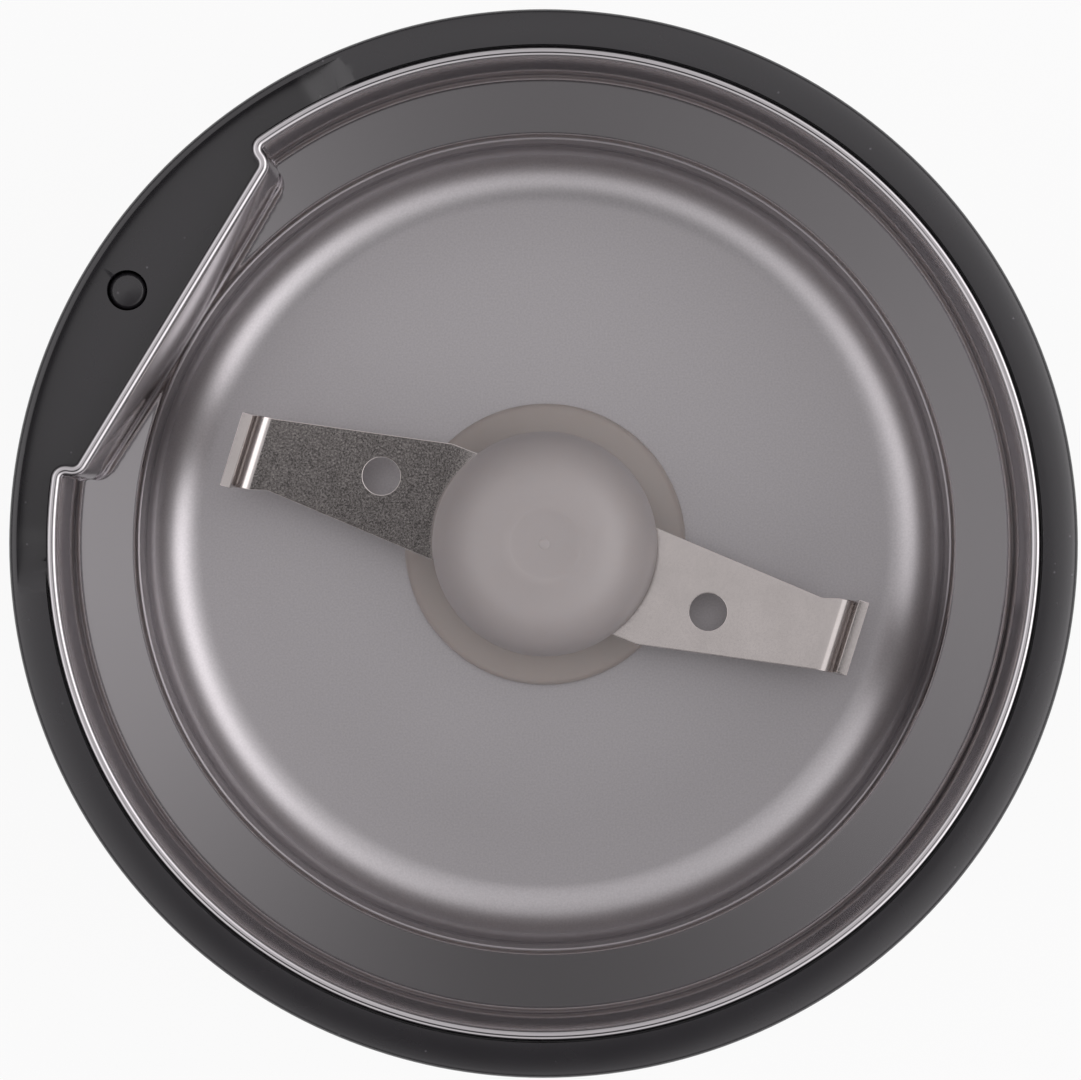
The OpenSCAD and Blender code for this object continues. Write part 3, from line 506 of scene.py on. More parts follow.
def natural_nylon(name, base, depth_mm):
    """Unpigmented moulded nylon: milky, lets light a few millimetres in, smooth satin skin."""
    material, tree, shader = new_material(name)
    place = add_node(tree, "ShaderNodeTexCoord").outputs["Object"]
    cloud = add_node(tree, "ShaderNodeTexNoise", {"Vector": place}, {"Scale": per_mm(4), "Detail": 2.0})
    shade = add_node(
        tree, "ShaderNodeMix", {"Factor": cloud.outputs["Fac"]},
        {"A": [c * 0.95 for c in base[:3]] + [1], "B": base}, data_type="RGBA",
    )
    rough = add_node(
        tree, "ShaderNodeMapRange", {"Value": cloud.outputs["Fac"]}, {"To Min": 0.32, "To Max": 0.42}
    )
    tree.links.new(shade.outputs["Result"], shader.inputs["Base Color"])
    tree.links.new(rough.outputs["Result"], shader.inputs["Roughness"])
    shader.inputs["IOR"].default_value = 1.53
    shader.inputs["Subsurface Weight"].default_value = 0.6
    shader.inputs["Subsurface Radius"].default_value = (1.0, 0.85, 0.75)
    shader.inputs["Subsurface Scale"].default_value = depth_mm * MM
    return material


def plain_finish(name, hex_colour, metallic, rough, grain_mm):
    """A finish for inner pieces: one colour with a grain of the given size in tone and gloss."""
    material, tree, shader = new_material(name)
    place = add_node(tree, "ShaderNodeTexCoord").outputs["Object"]
    grain = add_node(
        tree, "ShaderNodeTexNoise", {"Vector": place}, {"Scale": per_mm(grain_mm), "Detail": 3.0}
    )
    base = linear(hex_colour)
    shade = add_node(
        tree, "ShaderNodeMix", {"Factor": grain.outputs["Fac"]},
        {"A": [c * 0.8 for c in base[:3]] + [1], "B": base}, data_type="RGBA",
    )
    gloss = add_node(
        tree, "ShaderNodeMapRange", {"Value": grain.outputs["Fac"]},
        {"To Min": rough * 0.85, "To Max": min(1, rough * 1.15)},
    )
    tree.links.new(shade.outputs["Result"], shader.inputs["Base Color"])
    tree.links.new(gloss.outputs["Result"], shader.inputs["Roughness"])
    shader.inputs["Metallic"].default_value = metallic
    return material


# Shapes


def between(start, end, steps):
    """Points that divide a straight line evenly, without its start and with its end."""
    return [tuple(p + (q - p) * i / steps for p, q in zip(start, end)) for i in range(1, steps + 1)]


def d_outline(bowl, grow, azimuth):
    """Outline of the bowl's mouth as points: a round with one flat side, moved outwards by grow."""
    a = bowl.chord_half
    deg = math.degrees(a)
    x = bowl.chord_x + bowl.corner_r
    y = (x * math.sin(a) - bowl.corner_r) / math.cos(a)
    along = math.sqrt((bowl.mouth_r - bowl.nook_r) ** 2 - bowl.nook_r**2)
    nook_x, nook_y = turned([(along, bowl.nook_r)], a)[0]
    nook_deg = math.degrees(math.atan2(nook_y, nook_x))
    corner = bowl.corner_r - grow
    side_in = arc(x, y, corner, deg + 90, deg + 90, 1)[0]
    side_out = arc(nook_x, nook_y, bowl.nook_r + grow, deg - 90, deg - 90, 1)[0]
    half = arc(x, y, corner, 180, deg + 90, CORNER_STEPS)
    half += between(side_in, side_out, SIDE_STEPS)[:-1]
    half += arc(nook_x, nook_y, bowl.nook_r + grow, deg - 90, nook_deg, NOOK_STEPS)
    round_part = arc(0, 0, bowl.mouth_r + grow, nook_deg, 360 - nook_deg, ROUND_STEPS)[1:-1]
    flat_x = bowl.chord_x + grow
    flat = between((flat_x, -y), (flat_x, y), FLAT_STEPS)[:-1]
    mirrored = [(px, -py) for px, py in reversed(half)]
    return turned(half + round_part + mirrored + flat, azimuth)


def soft_least(a, b, k):
    """The smaller of two lengths, blended over k where they are close."""
    h = max(k - abs(a - b), 0) / k
    return min(a, b) - h * h * k / 4


def bowl_profile(bowl, grow):
    """Half section of the bowl from the hole in its floor up to the upright wall, as (radius, height)."""
    floor_z = RING_Z - bowl.depth - grow
    slope_top = RING_Z - bowl.wall_h
    shoulder_z = slope_top - bowl.slope_h
    run = bowl.mouth_r - bowl.cup_r - bowl.shoulder_r
    tilt = math.degrees(math.atan2(bowl.slope_h, run))
    fillet = bowl.floor_fillet + grow
    wall_r = bowl.cup_r + grow
    turn_r = bowl.shoulder_r - grow
    fillet_steps = 20
    shoulder_steps = 8
    slope_steps = 40
    base = arc(wall_r - fillet, floor_z + fillet, fillet, -90, 0, fillet_steps)
    shoulder = arc(wall_r + turn_r, shoulder_z - bowl.shoulder_r, turn_r, 180, 90 + tilt, shoulder_steps)
    # the slope runs past the mouth, whose outline then ends it
    past = (bowl.mouth_r + grow + run / 2, slope_top + bowl.slope_h / 2)
    return base + shoulder + between(shoulder[-1], past, slope_steps)


def skin_r(house, z):
    """Outer radius of the housing at a height below the start of its flare."""
    return house.ring_r + house.foot_flare * ((house.flare_z - z) / (house.flare_z - HOUSING_Z)) ** 2


def pin_spot(house):
    """Where the interlock pin stands."""
    return Vector((math.cos(house.pocket_az), math.sin(house.pocket_az), 0)) * house.pin_x


def cord_way(house):
    """Matrix that lays a solid turned about Z into the cord outlet, pointing outwards."""
    aim = Matrix.Rotation(house.pocket_az, 4, "Z") @ Matrix.Rotation(math.pi / 2, 4, "Y")
    return Matrix.Translation((0, 0, house.cord_z)) @ aim


def recess_cutter(house, bowl):
    """Solid of the recess: deepest beside the flat wall, running out into the ring at both ends."""
    steps = 48
    overrun = 1.12
    fade_share = 0.22
    lift = 0.2 * MM
    above = RING_Z + CLEAR
    inner_r = bowl.chord_x - 2 * CLEAR
    outer_r = house.ring_r - house.pocket_lip
    stations = []
    for i in range(-steps, steps + 1):
        fade = min(1, (1 - abs(i) / steps) / fade_share)
        floor_z = RING_Z + lift - (house.pocket_depth + lift) * fade * fade * (3 - 2 * fade)
        a = house.pocket_az + house.pocket_half * overrun * i / steps
        span = ((inner_r, floor_z), (outer_r, floor_z), (outer_r, above), (inner_r, above))
        stations.append([(r * math.cos(a), r * math.sin(a), z) for r, z in span])
    return loft(stations, closed=False)


def housing_section(house, bowl):
    """Section of the housing as (radius, height), without the cuts for bowl, recess and pin."""
    crown_in = bowl.mouth_r + bowl.rim_w + house.seat_gap
    run = house.ring_r - house.edge_r - crown_in
    crown_r = house.edge_r + run / math.sin(house.crown_tilt)
    edge_z = RING_Z - crown_r + (crown_r - house.edge_r) * math.cos(house.crown_tilt)
    top_deg = 90 - math.degrees(house.crown_tilt)
    plate_z = RING_Z - house.pocket_depth - house.plate_t
    # the deck reaches in past the flat wall, and the bowl's seat is cut out of it
    overlap = 3 * MM
    deck_r = bowl.chord_x - overlap
    flare_steps = 36
    edge_steps = 8
    crown_steps = 16
    heights = [HOUSING_Z + (house.flare_z - HOUSING_Z) * i / flare_steps for i in range(flare_steps + 1)]
    skin = [(skin_r(house, z), z) for z in heights]
    crown = arc(house.ring_r - house.edge_r, edge_z, house.edge_r, 0, top_deg, edge_steps)
    crown += arc(crown_in, RING_Z - crown_r, crown_r, top_deg, 90, crown_steps)[1:]
    deck = [(deck_r, RING_Z), (deck_r, plate_z), (house.ring_r - house.wall, plate_z)]
    inside = [(r - house.wall, z) for r, z in reversed(skin)]
    return skin + crown + deck + inside


# Operators, one for each piece or group of like pieces


class GRINDER_OT_housing(bpy.types.Operator):
    """Mould the housing: crowned ring, recess for the lid's button and flared foot"""

    bl_idname = "grinder.housing"
    bl_label = "Housing"

    def execute(self, context):
        house, bowl, _, colours = settings(context.scene)
        finish = moulded_abs(list(colours.housing))
        shell = lathe(housing_section(house, bowl), HOUSING_TURNS)
        piece = made("housing_shell", shell, "base_unit", finish)
        pocket_z = RING_Z - house.pocket_depth
        above = RING_Z + CLEAR
        seat = d_outline(bowl, bowl.sheet + house.seat_gap, house.pocket_az)
        cut(piece, prism(seat, pocket_z - 2 * house.plate_t, above))
        rim_seat = d_outline(bowl, bowl.rim_w + house.seat_gap, house.pocket_az)
        cut(piece, prism(rim_seat, RING_Z - bowl.rim_h, above))
        cut(piece, recess_cutter(house, bowl))
        spot = pin_spot(house)
        hole = circle(spot.x, spot.y, house.pin_r + house.pin_gap, HOLE_STEPS)
        cut(piece, prism(hole, pocket_z - 4 * house.plate_t, above))
        reach = 10 * MM
        outlet_ring = circle(0, 0, house.cord_hole_r, HOLE_STEPS)
        outlet = prism(outlet_ring, house.ring_r - reach, house.ring_r + reach)
        bmesh.ops.transform(outlet, matrix=cord_way(house), verts=outlet.verts)
        cut(piece, outlet)
        soften(piece, house.soft_r)
        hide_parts("housing")
        return {"FINISHED"}


class GRINDER_OT_plunger(bpy.types.Operator):
    """Mould the interlock plunger: pin with a rounded end, arm under it and stem in the spring"""

    bl_idname = "grinder.plunger"
    bl_label = "Interlock plunger"

    def execute(self, context):
        house = context.scene.grinder_housing
        low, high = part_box("interlock_plunger")
        spring_low, spring_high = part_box("plunger_spring")
        middle = (spring_low + spring_high) / 2
        stem = turned([(middle.x, middle.y)], -house.pocket_az)[0]
        arm_z = spring_high.z
        arm_mid = arm_z + house.arm_t / 2
        soft = house.pin_soft
        dome_steps = 8
        dome_end = 84
        dome = arc(house.pin_r - soft, high.z - soft - house.pin_dome, soft, 0, dome_end, dome_steps)
        profile = [(AXIS_R, arm_mid), (house.pin_r, arm_mid)] + dome + [(AXIS_R, high.z)]
        bm = lathe(profile, SMALL_TURNS, closed=False)
        bmesh.ops.transform(bm, matrix=Matrix.Translation(pin_spot(house)), verts=bm.verts)
        piece = made("plunger_pin", bm, "interlock", bpy.data.materials["abs_moulded_matt"])
        near = stem[0] - house.arm_edge
        far = house.pin_x + house.arm_tip
        side = stem[1] + house.arm_edge
        arm = [(near, -house.pin_r), (far, -house.pin_r), (far, side), (near, side)]
        cut(piece, prism(turned(arm, house.pocket_az), arm_z, arm_z + house.arm_t), "UNION")
        stem_steps = 48
        rod = circle(middle.x, middle.y, house.stem_r, stem_steps)
        cut(piece, prism(rod, low.z, arm_mid), "UNION")
        soften(piece, house.arm_soft, segments=2)
        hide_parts("interlock_plunger")
        return {"FINISHED"}


class GRINDER_OT_spring(bpy.types.Operator):
    """Wind the return spring of the interlock pin at rest; the coil is fixed and does not shorten as the
    pin goes down
    """

    bl_idname = "grinder.spring"
    bl_label = "Return spring"

    def execute(self, context):
        house = context.scene.grinder_housing
        low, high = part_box("plunger_spring")
        middle = (low + high) / 2
        wire = house.spring_wire / 2
        coil_r = (high.x - low.x) / 2 - wire
        turns = 3.5
        steps = 112
        wire_sides = 10
        rings = []
        for i in range(steps + 1):
            a = house.pocket_az + 2 * math.pi * turns * i / steps
            z = low.z + wire + (high.z - low.z - 2 * wire) * i / steps
            section = circle(coil_r, z, wire, wire_sides)
            rings.append([(middle.x + r * math.cos(a), middle.y + r * math.sin(a), h) for r, h in section])
        steel = plain_finish("steel_spring_wire", "b6b8bc", 1, 0.28, 0.3)
        piece = made("spring_coil", loft(rings, closed=False), "base_unit", steel)
        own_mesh(piece)
        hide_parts("plunger_spring")
        return {"FINISHED"}


class GRINDER_OT_grommet(bpy.types.Operator):
    """Mould the rubber grommet with its rounded flanges on both sides of the wall"""

    bl_idname = "grinder.grommet"
    bl_label = "Cord grommet"

    def execute(self, context):
        house = context.scene.grinder_housing
        neck_r = house.cord_hole_r
        flange_r = neck_r + house.grommet_lip
        bore_r = house.cord_bore_r
        outside = skin_r(house, house.cord_z)
        inner = outside - house.wall
        far = outside + house.grommet_flange
        near = inner - house.grommet_flange
        soft = house.grommet_soft
        # the wall curves away at the flange's sides, so the flange reaches in a little
        skin = outside - house.grommet_tuck
        profile = arc(bore_r + soft, far - soft, soft, 180, 90, EDGE_STEPS)
        profile += arc(flange_r - soft, far - soft, soft, 90, 0, EDGE_STEPS)
        profile += [(flange_r, skin), (neck_r, skin), (neck_r, inner), (flange_r, inner)]
        profile += arc(flange_r - soft, near + soft, soft, 0, -90, EDGE_STEPS)
        profile += arc(bore_r + soft, near + soft, soft, -90, -180, EDGE_STEPS)
        bm = lathe(profile, SMALL_TURNS)
        bmesh.ops.transform(bm, matrix=cord_way(house), verts=bm.verts)
        rubber = plain_finish("rubber_moulded", "262626", 0, 0.6, 0.6)
        piece = made("grommet_ring", bm, "base_unit", rubber)
        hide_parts("cord_grommet")
        return {"FINISHED"}


class GRINDER_OT_bowl(bpy.types.Operator):
    """Press the steel bowl: D-shaped wall, slope, shoulder, satin floor and turned-out rim"""

    bl_idname = "grinder.bowl"
    bl_label = "Bowl"

    def execute(self, context):
        house, bowl, blade, colours = settings(context.scene)
        hole_r = blade.shaft_r + blade.bush_neck + house.seat_gap
        # rings that divide the flat floor
        near_r = 14 * MM
        mid_r = 20 * MM
        far_r = 26 * MM
        # a round this wide lies outside the mouth's outline everywhere
        wide = 2 * bowl.mouth_r

        def level(grow, r, z):
            """Ring of points where the mouth's outline meets a round of radius r."""
            ring = []
            for x, y in d_outline(bowl, grow, house.pocket_az):
                rho = math.hypot(x, y)
                k = soft_least(rho, r, bowl.seam_r) / rho
                ring.append((x * k, y * k, z))
            return ring

        floor_z = RING_Z - bowl.depth
        inside = [level(0, r, floor_z) for r in (hole_r, near_r, mid_r, far_r)]
        inside += [level(0, r, z) for r, z in bowl_profile(bowl, 0)]
        # the rim is rolled to a half round, which catches a thin line of light
        half = bowl.rim_w / 2
        lip_steps = 24
        lip = arc(half, RING_Z - half, half, 180, 0, lip_steps)
        rim = [level(g, wide, z) for g, z in lip]
        rim += [level(g, wide, RING_Z - bowl.rim_h) for g in (bowl.rim_w, bowl.sheet)]
        outside = [level(bowl.sheet, r, z) for r, z in reversed(bowl_profile(bowl, bowl.sheet))]
        under = [level(bowl.sheet, r, floor_z - bowl.sheet) for r in (far_r, near_r, hole_r)]
        satin_share = 0.6
        steel = spun_steel(list(colours.steel), floor_z + satin_share * bowl.floor_fillet)
        shell = loft(inside + rim + outside + under, closed=True)
        piece = made("bowl_shell", shell, "base_unit", steel, sharp=50)
        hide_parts("grinding_bowl")
        return {"FINISHED"}


class GRINDER_OT_blade(bpy.types.Operator):
    """Stamp and bend the two-wing blade"""

    bl_idname = "grinder.blade"
    bl_label = "Blade"

    def execute(self, context):
        _, bowl, blade, colours = settings(context.scene)
        root = blade.hub_r - blade.hold
        knee = root + 3 * MM
        notch = blade.reach - 1.4 * MM
        bend_len = (blade.bend_r + blade.sheet / 2) * blade.bend
        tip = blade.reach + bend_len + blade.lip
        # the wing's two long edges, as distance from the axis and millimetres across
        low_edge = [(root, -6.0), (knee, -6.2), (blade.reach, -3.5), (tip, -3.2)]
        high_edge = [(root, 4.6), (notch, 2.9), (blade.reach, 3.3), (tip, 3.7)]

        def edge(points, u):
            """Height in V of an edge line at U."""
            for (u0, v0), (u1, v1) in zip(points, points[1:]):
                if u <= u1:
                    return (v0 + (v1 - v0) * max(0, u - u0) / (u1 - u0)) * MM
            return points[-1][1] * MM

        def sheet_point(u, v, w):
            """Point of the bent sheet: U along the blade, V across, W off its middle plane."""
            side = 1 if u >= 0 else -1
            along = abs(u)
            if along <= blade.reach:
                x, z = along, w
            else:
                turn = min(1, (along - blade.reach) / bend_len) * blade.bend
                r = blade.bend_r + blade.sheet / 2
                x = blade.reach + (r - w) * math.sin(turn)
                z = r - (r - w) * math.cos(turn)
                rest = max(0, along - blade.reach - bend_len)
                x += rest * math.cos(turn)
                z += rest * math.sin(turn)
            if along > root:
                dx = x - root
                x = root + dx * math.cos(blade.rise) - z * math.sin(blade.rise)
                z = z * math.cos(blade.rise) + dx * math.sin(blade.rise)
            return Vector((side * x, v, z))

        # sections along one wing and round its bend, then the same on the other side
        bend_steps = 14
        wing = [root, knee, 14 * MM, 18 * MM, 22 * MM, notch]
        wing += [blade.reach + bend_len * i / bend_steps for i in range(bend_steps + 1)] + [tip]
        stations = [-u for u in reversed(wing)] + [0] + wing
        half = blade.sheet / 2
        rings = []
        for u in stations:
            low = edge(low_edge, u) if u >= 0 else -edge(high_edge, -u)
            high = edge(high_edge, u) if u >= 0 else -edge(low_edge, -u)
            section = ((low, -half), (high, -half), (high, half), (low, half))
            rings.append([sheet_point(u, v, w) for v, w in section])
        steel = rolled_steel(list(colours.blade))
        level = RING_Z - bowl.depth + blade.level
        bm = loft(rings, closed=False)
        place = Matrix.Translation((0, 0, level)) @ Matrix.Rotation(blade.azimuth, 4, "Z")
        bmesh.ops.transform(bm, matrix=place, verts=bm.verts)
        piece = made("blade_sheet", bm, "rotor", steel)
        for side in (1, -1):
            x, y = turned([(side * blade.hole_u, side * blade.hole_v)], blade.azimuth)[0]
            hole = circle(x, y, blade.hole_r, HOLE_STEPS)
            cut(piece, prism(hole, level - 2 * CLEAR, level + 2 * CLEAR))
        soften(piece, blade.edge_r, segments=2, limit=30, sharp=30)
        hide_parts("blade")
        return {"FINISHED"}


class GRINDER_OT_hub(bpy.types.Operator):
    """Mould the hub over the middle of the blade, and the bush under it"""

    bl_idname = "grinder.hub"
    bl_label = "Hub and bush"

    def execute(self, context):
        _, bowl, blade, colours = settings(context.scene)
        r = blade.hub_r
        floor_z = RING_Z - bowl.depth
        dome_z = floor_z + blade.level + blade.hub_side
        rise = HUB_TOP_Z - dome_z
        dome_steps = 28
        # a power below one makes the dome fuller than a ball
        fullness = 0.62
        dome = [math.radians(90 * i / dome_steps) for i in range(dome_steps - 2)]
        skin = [(r * math.cos(a) ** fullness, dome_z + rise * math.sin(a)) for a in dome]
        dish_margin = 0.3 * MM
        skin = [p for p in skin if p[0] > blade.hub_dish_r + dish_margin]
        # a shallow dish lies round the middle, with the mark of the mould's gate standing in it
        dish_in = 0.3
        dish_depth = 0.1 * MM
        edge_fall = 0.02 * MM
        nub_r = 0.5 * MM
        quarter = arc(0, 0, 1, 0, 90, EDGE_STEPS)
        dish = [
            (blade.hub_dish_r * (dish_in + (1 - dish_in) * c), HUB_TOP_Z - edge_fall - dish_depth * q)
            for c, q in quarter
        ]
        nub_foot_z = dish[-1][1]
        nub = [(nub_r * c, nub_foot_z + dish_depth * q) for c, q in quarter[:-1]]
        foot_edge = 0.6 * MM
        foot_in = 0.1 * MM
        nub_in = 0.05 * MM
        foot = [(foot_in, HUB_FOOT_Z), (r - foot_edge, HUB_FOOT_Z), (r, HUB_FOOT_Z + foot_edge)]
        profile = foot + skin + dish + nub + [(nub_in, HUB_TOP_Z - edge_fall)]
        nylon = natural_nylon("nylon_natural_hub", list(colours.hub), 3)
        hub = made("hub_dome", lathe(profile, HUB_TURNS, closed=False), "rotor", nylon)
        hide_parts("blade_hub")
        neck_r = blade.shaft_r + blade.bush_neck
        run_gap = 0.1 * MM
        bore_r = blade.shaft_r + run_gap
        edge = blade.bush_edge
        edge_end = 75
        top_r = r - 1 * MM
        flange = [(bore_r, BUSH_FOOT_Z), (neck_r, BUSH_FOOT_Z), (neck_r, floor_z), (blade.bush_r, floor_z)]
        edge_z = BUSH_TOP_Z - edge - blade.bush_fall
        flange += arc(blade.bush_r - edge, edge_z, edge, 0, edge_end, EDGE_STEPS)
        flange += [(top_r, BUSH_TOP_Z), (bore_r, BUSH_TOP_Z)]
        white = natural_nylon("nylon_natural_bush", list(colours.bush), 2)
        bush = made("bush_flange", lathe(flange, HUB_TURNS), "base_unit", white)
        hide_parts("bowl_bush")
        return {"FINISHED"}


class GRINDER_OT_inner_pieces(bpy.types.Operator):
    """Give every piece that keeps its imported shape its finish"""

    bl_idname = "grinder.inner_pieces"
    bl_label = "Inner pieces"

    def execute(self, context):
        finishes = {
            "housing_abs": bpy.data.materials["abs_moulded_matt"],
            "black_rubber": bpy.data.materials["rubber_moulded"],
            "motor_frame": plain_finish("nylon_glass_filled", "3a3a3c", 0, 0.5, 0.5),
            "bearing_bronze": plain_finish("bronze_sintered", "9c7443", 1, 0.5, 0.2),
            "lamination_steel": plain_finish("steel_lamination", "70747a", 1, 0.45, 0.5),
            "enamelled_copper": plain_finish("copper_enamelled", "a85a2a", 0.6, 0.35, 0.3),
            "carbon": plain_finish("graphite_pressed", "222224", 0, 0.55, 0.3),
            "plain_brass": plain_finish("brass_drawn", "c2a055", 1, 0.3, 0.4),
            "zinc_steel": plain_finish("steel_zinc_plated", "c4c6ca", 1, 0.3, 0.4),
            "shaft_steel": plain_finish("steel_ground", "c0c0c2", 1, 0.22, 0.2),
            "switch_plastic": plain_finish("phenolic_moulded", "202022", 0, 0.45, 0.4),
            "button_red": plain_finish("abs_red", "b8342a", 0, 0.35, 0.5),
            "hub_nylon": bpy.data.materials["nylon_natural_hub"],
            "bowl_steel": bpy.data.materials["stainless_drawn_polished"],
            "blade_steel": bpy.data.materials["stainless_rolled_sheet"],
        }
        for part in frame["record"]["subparts"]:
            mesh = frame["nodes"][part["node"]].data
            mesh.materials.clear()
            mesh.materials.append(finishes[part["material_slot"]])
        return {"FINISHED"}


class GRINDER_OT_stage(bpy.types.Operator):
    """Set the floor, the soft studio light and the camera above the ring"""

    bl_idname = "grinder.stage"
    bl_label = "Studio"

    def execute(self, context):
        scene = context.scene
        studio = scene.grinder_studio
        self.set_floor(scene)
        self.set_world(scene)
        lens = bpy.data.cameras.new("studio_camera")
        lens.sensor_width = 36
        lens.sensor_fit = "HORIZONTAL"
        lens.lens = lens.sensor_width * studio.camera_rise / studio.frame_w
        lens.shift_x = OFF_X_PX / PICTURE_PX - studio.camera_x / studio.frame_w
        lens.shift_y = OFF_Y_PX / PICTURE_PX - studio.camera_y / studio.frame_w
        camera = bpy.data.objects.new("studio_camera", lens)
        camera.location = (studio.camera_x, studio.camera_y, RING_Z + studio.camera_rise)
        scene.collection.objects.link(camera)
        scene.camera = camera
        scene.view_settings.view_transform = "Standard"
        return {"FINISHED"}

    def set_floor(self, scene):
        """A wide pale floor that stays white to the camera and takes the shadow."""
        half_width = 3.0
        under_feet = 0.05 * MM
        bm = bmesh.new()
        bmesh.ops.create_grid(bm, x_segments=2, y_segments=2, size=half_width)
        mesh = bpy.data.meshes.new("studio_floor")
        bm.to_mesh(mesh)
        bm.free()
        floor = bpy.data.objects.new("studio_floor", mesh)
        # just under the feet, so that the two faces don't fall together
        floor.location.z = -under_feet
        scene.collection.objects.link(floor)
        material, tree, shader = new_material("floor_paper")
        shader.inputs["Base Color"].default_value = list(scene.grinder_colours.floor)
        shader.inputs["Roughness"].default_value = 0.9
        path = add_node(tree, "ShaderNodeLightPath")
        seen = add_node(
            tree, "ShaderNodeMath",
            {0: path.outputs["Is Camera Ray"], 1: path.outputs["Is Glossy Ray"]}, operation="MAXIMUM",
        )
        seen = add_node(
            tree, "ShaderNodeMath",
            {0: seen.outputs["Value"], 1: path.outputs["Is Transmission Ray"]}, operation="MAXIMUM",
        )
        part = add_node(tree, "ShaderNodeMath", {0: seen.outputs["Value"]}, {1: 0.9}, operation="MULTIPLY")
        white = add_node(tree, "ShaderNodeEmission", values={"Strength": 1.0})
        mix = add_node(
            tree, "ShaderNodeMixShader",
            {0: part.outputs["Value"], 1: shader.outputs["BSDF"], 2: white.outputs["Emission"]},
        )
        out = next(n for n in tree.nodes if n.type == "OUTPUT_MATERIAL")
        tree.links.new(mix.outputs["Shader"], out.inputs["Surface"])
        mesh.materials.append(material)

    def set_world(self, scene):
        """Soft studio surroundings: an overhead panel, and softer light from each side at two heights."""
        studio = scene.grinder_studio
        world = bpy.data.worlds.new("studio")
        scene.world = world
        world.use_nodes = True
        tree = world.node_tree
        tree.nodes.clear()
        way = add_node(tree, "ShaderNodeTexCoord").outputs["Generated"]
        height = add_node(tree, "ShaderNodeSeparateXYZ", {"Vector": way}).outputs["Z"]
        flat = add_node(
            tree, "ShaderNodeVectorMath", {0: way}, {1: (1, 1, 0)}, operation="MULTIPLY"
        ).outputs["Vector"]
        heading = add_node(tree, "ShaderNodeVectorMath", {0: flat}, operation="NORMALIZE").outputs["Vector"]
        # zones of light meet at these heights, given as sines; the gaps in the overhead panel lie round
        # the camera and its stand, each with a place, an inner radius and an outer radius
        low_ends = {"From Min": 0.48, "From Max": 0.34}
        over_starts = {"From Min": 0.78, "From Max": 0.88}
        panel_gaps = (((0.15, -0.06, 0), 0.09, 0.15), ((-0.06, -0.34, 0), 0.2, 0.32))
        gap_light = 0.1
        # how much of a direction belongs to each side; the four shares add up to one
        shares = []
        for aim in ((1, 0, 0), (0, 1, 0), (-1, 0, 0), (0, -1, 0)):
            facing = add_node(
                tree, "ShaderNodeVectorMath", {0: heading}, {1: aim}, operation="DOT_PRODUCT"
            )
            part = add_node(tree, "ShaderNodeClamp", {"Value": facing.outputs["Value"]})
            share = add_node(
                tree, "ShaderNodeMath", {0: part.outputs["Result"]}, {1: 2.0}, operation="POWER"
            )
            shares.append(share.outputs["Value"])

        def from_sides(strengths):
            """Light of one height, from its strengths to the right, top, left and bottom of the picture."""
            total = None
            for share, strength in zip(shares, strengths):
                links = {0: share, 2: total} if total else {0: share}
                step = add_node(
                    tree, "ShaderNodeMath", links, {1: strength, 2: 0.0}, operation="MULTIPLY_ADD"
                )
                total = step.outputs["Value"]
            return total

        over = None
        for spot, near, far in panel_gaps:
            apart = add_node(tree, "ShaderNodeVectorMath", {0: flat}, {1: spot}, operation="DISTANCE")
            gap = add_node(
                tree, "ShaderNodeMapRange", {"Value": apart.outputs["Value"]},
                {"From Min": near, "From Max": far, "To Min": gap_light, "To Max": 1.0},
                interpolation_type="SMOOTHSTEP",
            )
            links = {0: gap.outputs["Result"], 1: over} if over else {0: gap.outputs["Result"]}
            over = add_node(
                tree, "ShaderNodeMath", links, {1: studio.overhead}, operation="MULTIPLY"
            ).outputs["Value"]
        is_low = add_node(
            tree, "ShaderNodeMapRange", {"Value": height}, low_ends, interpolation_type="SMOOTHSTEP"
        )
        is_over = add_node(
            tree, "ShaderNodeMapRange", {"Value": height}, over_starts, interpolation_type="SMOOTHSTEP"
        )
        around = add_node(
            tree, "ShaderNodeMix",
            {"Factor": is_low.outputs["Result"], "A": from_sides(studio.high), "B": from_sides(studio.low)},
        )
        sky = add_node(
            tree, "ShaderNodeMix",
            {"Factor": is_over.outputs["Result"], "A": around.outputs["Result"], "B": over},
        )
        glow = add_node(
            tree, "ShaderNodeBackground", {"Strength": sky.outputs["Result"]}, {"Color": linear("fffcfe")}
        )
        add_node(tree, "ShaderNodeOutputWorld", {"Surface": glow.outputs["Background"]})


class GRINDER_PT_panel(bpy.types.Panel):
    """Sizes, finishes and steps of the grinder"""

    bl_label = "Coffee grinder"
    bl_idname = "GRINDER_PT_panel"
    bl_space_type = "VIEW_3D"
    bl_region_type = "UI"
    bl_category = "Grinder"

    def draw(self, context):
        column = self.layout.column()
        for operator in OPERATORS:
            column.operator(operator.bl_idname)
        for group in (*settings(context.scene), context.scene.grinder_studio):
            for name in group.__annotations__:
                column.prop(group, name)


GROUPS = {
    "grinder_housing": GrinderHousingSizes,
    "grinder_bowl": GrinderBowlSizes,
    "grinder_blade": GrinderBladeSizes,
    "grinder_colours": GrinderColours,
    "grinder_studio": GrinderStudio,
}
OPERATORS = (
    GRINDER_OT_housing,
    GRINDER_OT_plunger,
    GRINDER_OT_spring,
    GRINDER_OT_grommet,
    GRINDER_OT_bowl,
    GRINDER_OT_blade,
    GRINDER_OT_hub,
    GRINDER_OT_inner_pieces,
    GRINDER_OT_stage,
)


def register():
    """Add the settings, the operators and the panel."""
    for name, group in GROUPS.items():
        bpy.utils.register_class(group)
        setattr(bpy.types.Scene, name, bpy.props.PointerProperty(type=group))
    for cls in (*OPERATORS, GRINDER_PT_panel):
        bpy.utils.register_class(cls)


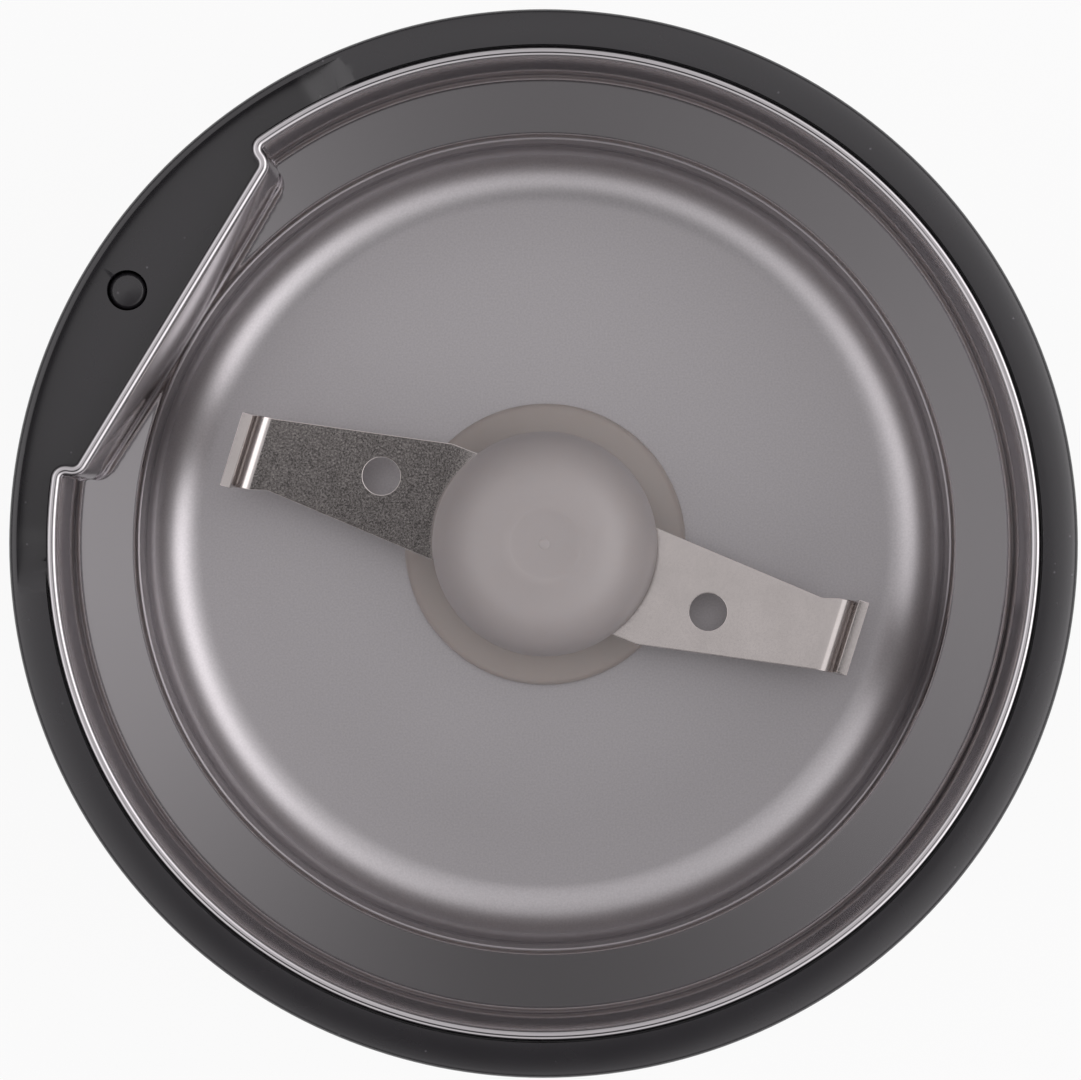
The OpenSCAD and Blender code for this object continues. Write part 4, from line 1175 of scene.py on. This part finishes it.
def unregister():
    """Take the panel, the operators and the settings away again."""
    for cls in reversed((*OPERATORS, GRINDER_PT_panel)):
        bpy.utils.unregister_class(cls)
    for name, group in reversed(GROUPS.items()):
        delattr(bpy.types.Scene, name)
        bpy.utils.unregister_class(group)


def main():
    """Build the grinder and its studio."""
    register()
    bpy.ops.grinder.housing()
    bpy.ops.grinder.plunger()
    bpy.ops.grinder.spring()
    bpy.ops.grinder.grommet()
    bpy.ops.grinder.bowl()
    bpy.ops.grinder.blade()
    bpy.ops.grinder.hub()
    bpy.ops.grinder.inner_pieces()
    bpy.ops.grinder.stage()


if __name__ == "__main__":
    main()
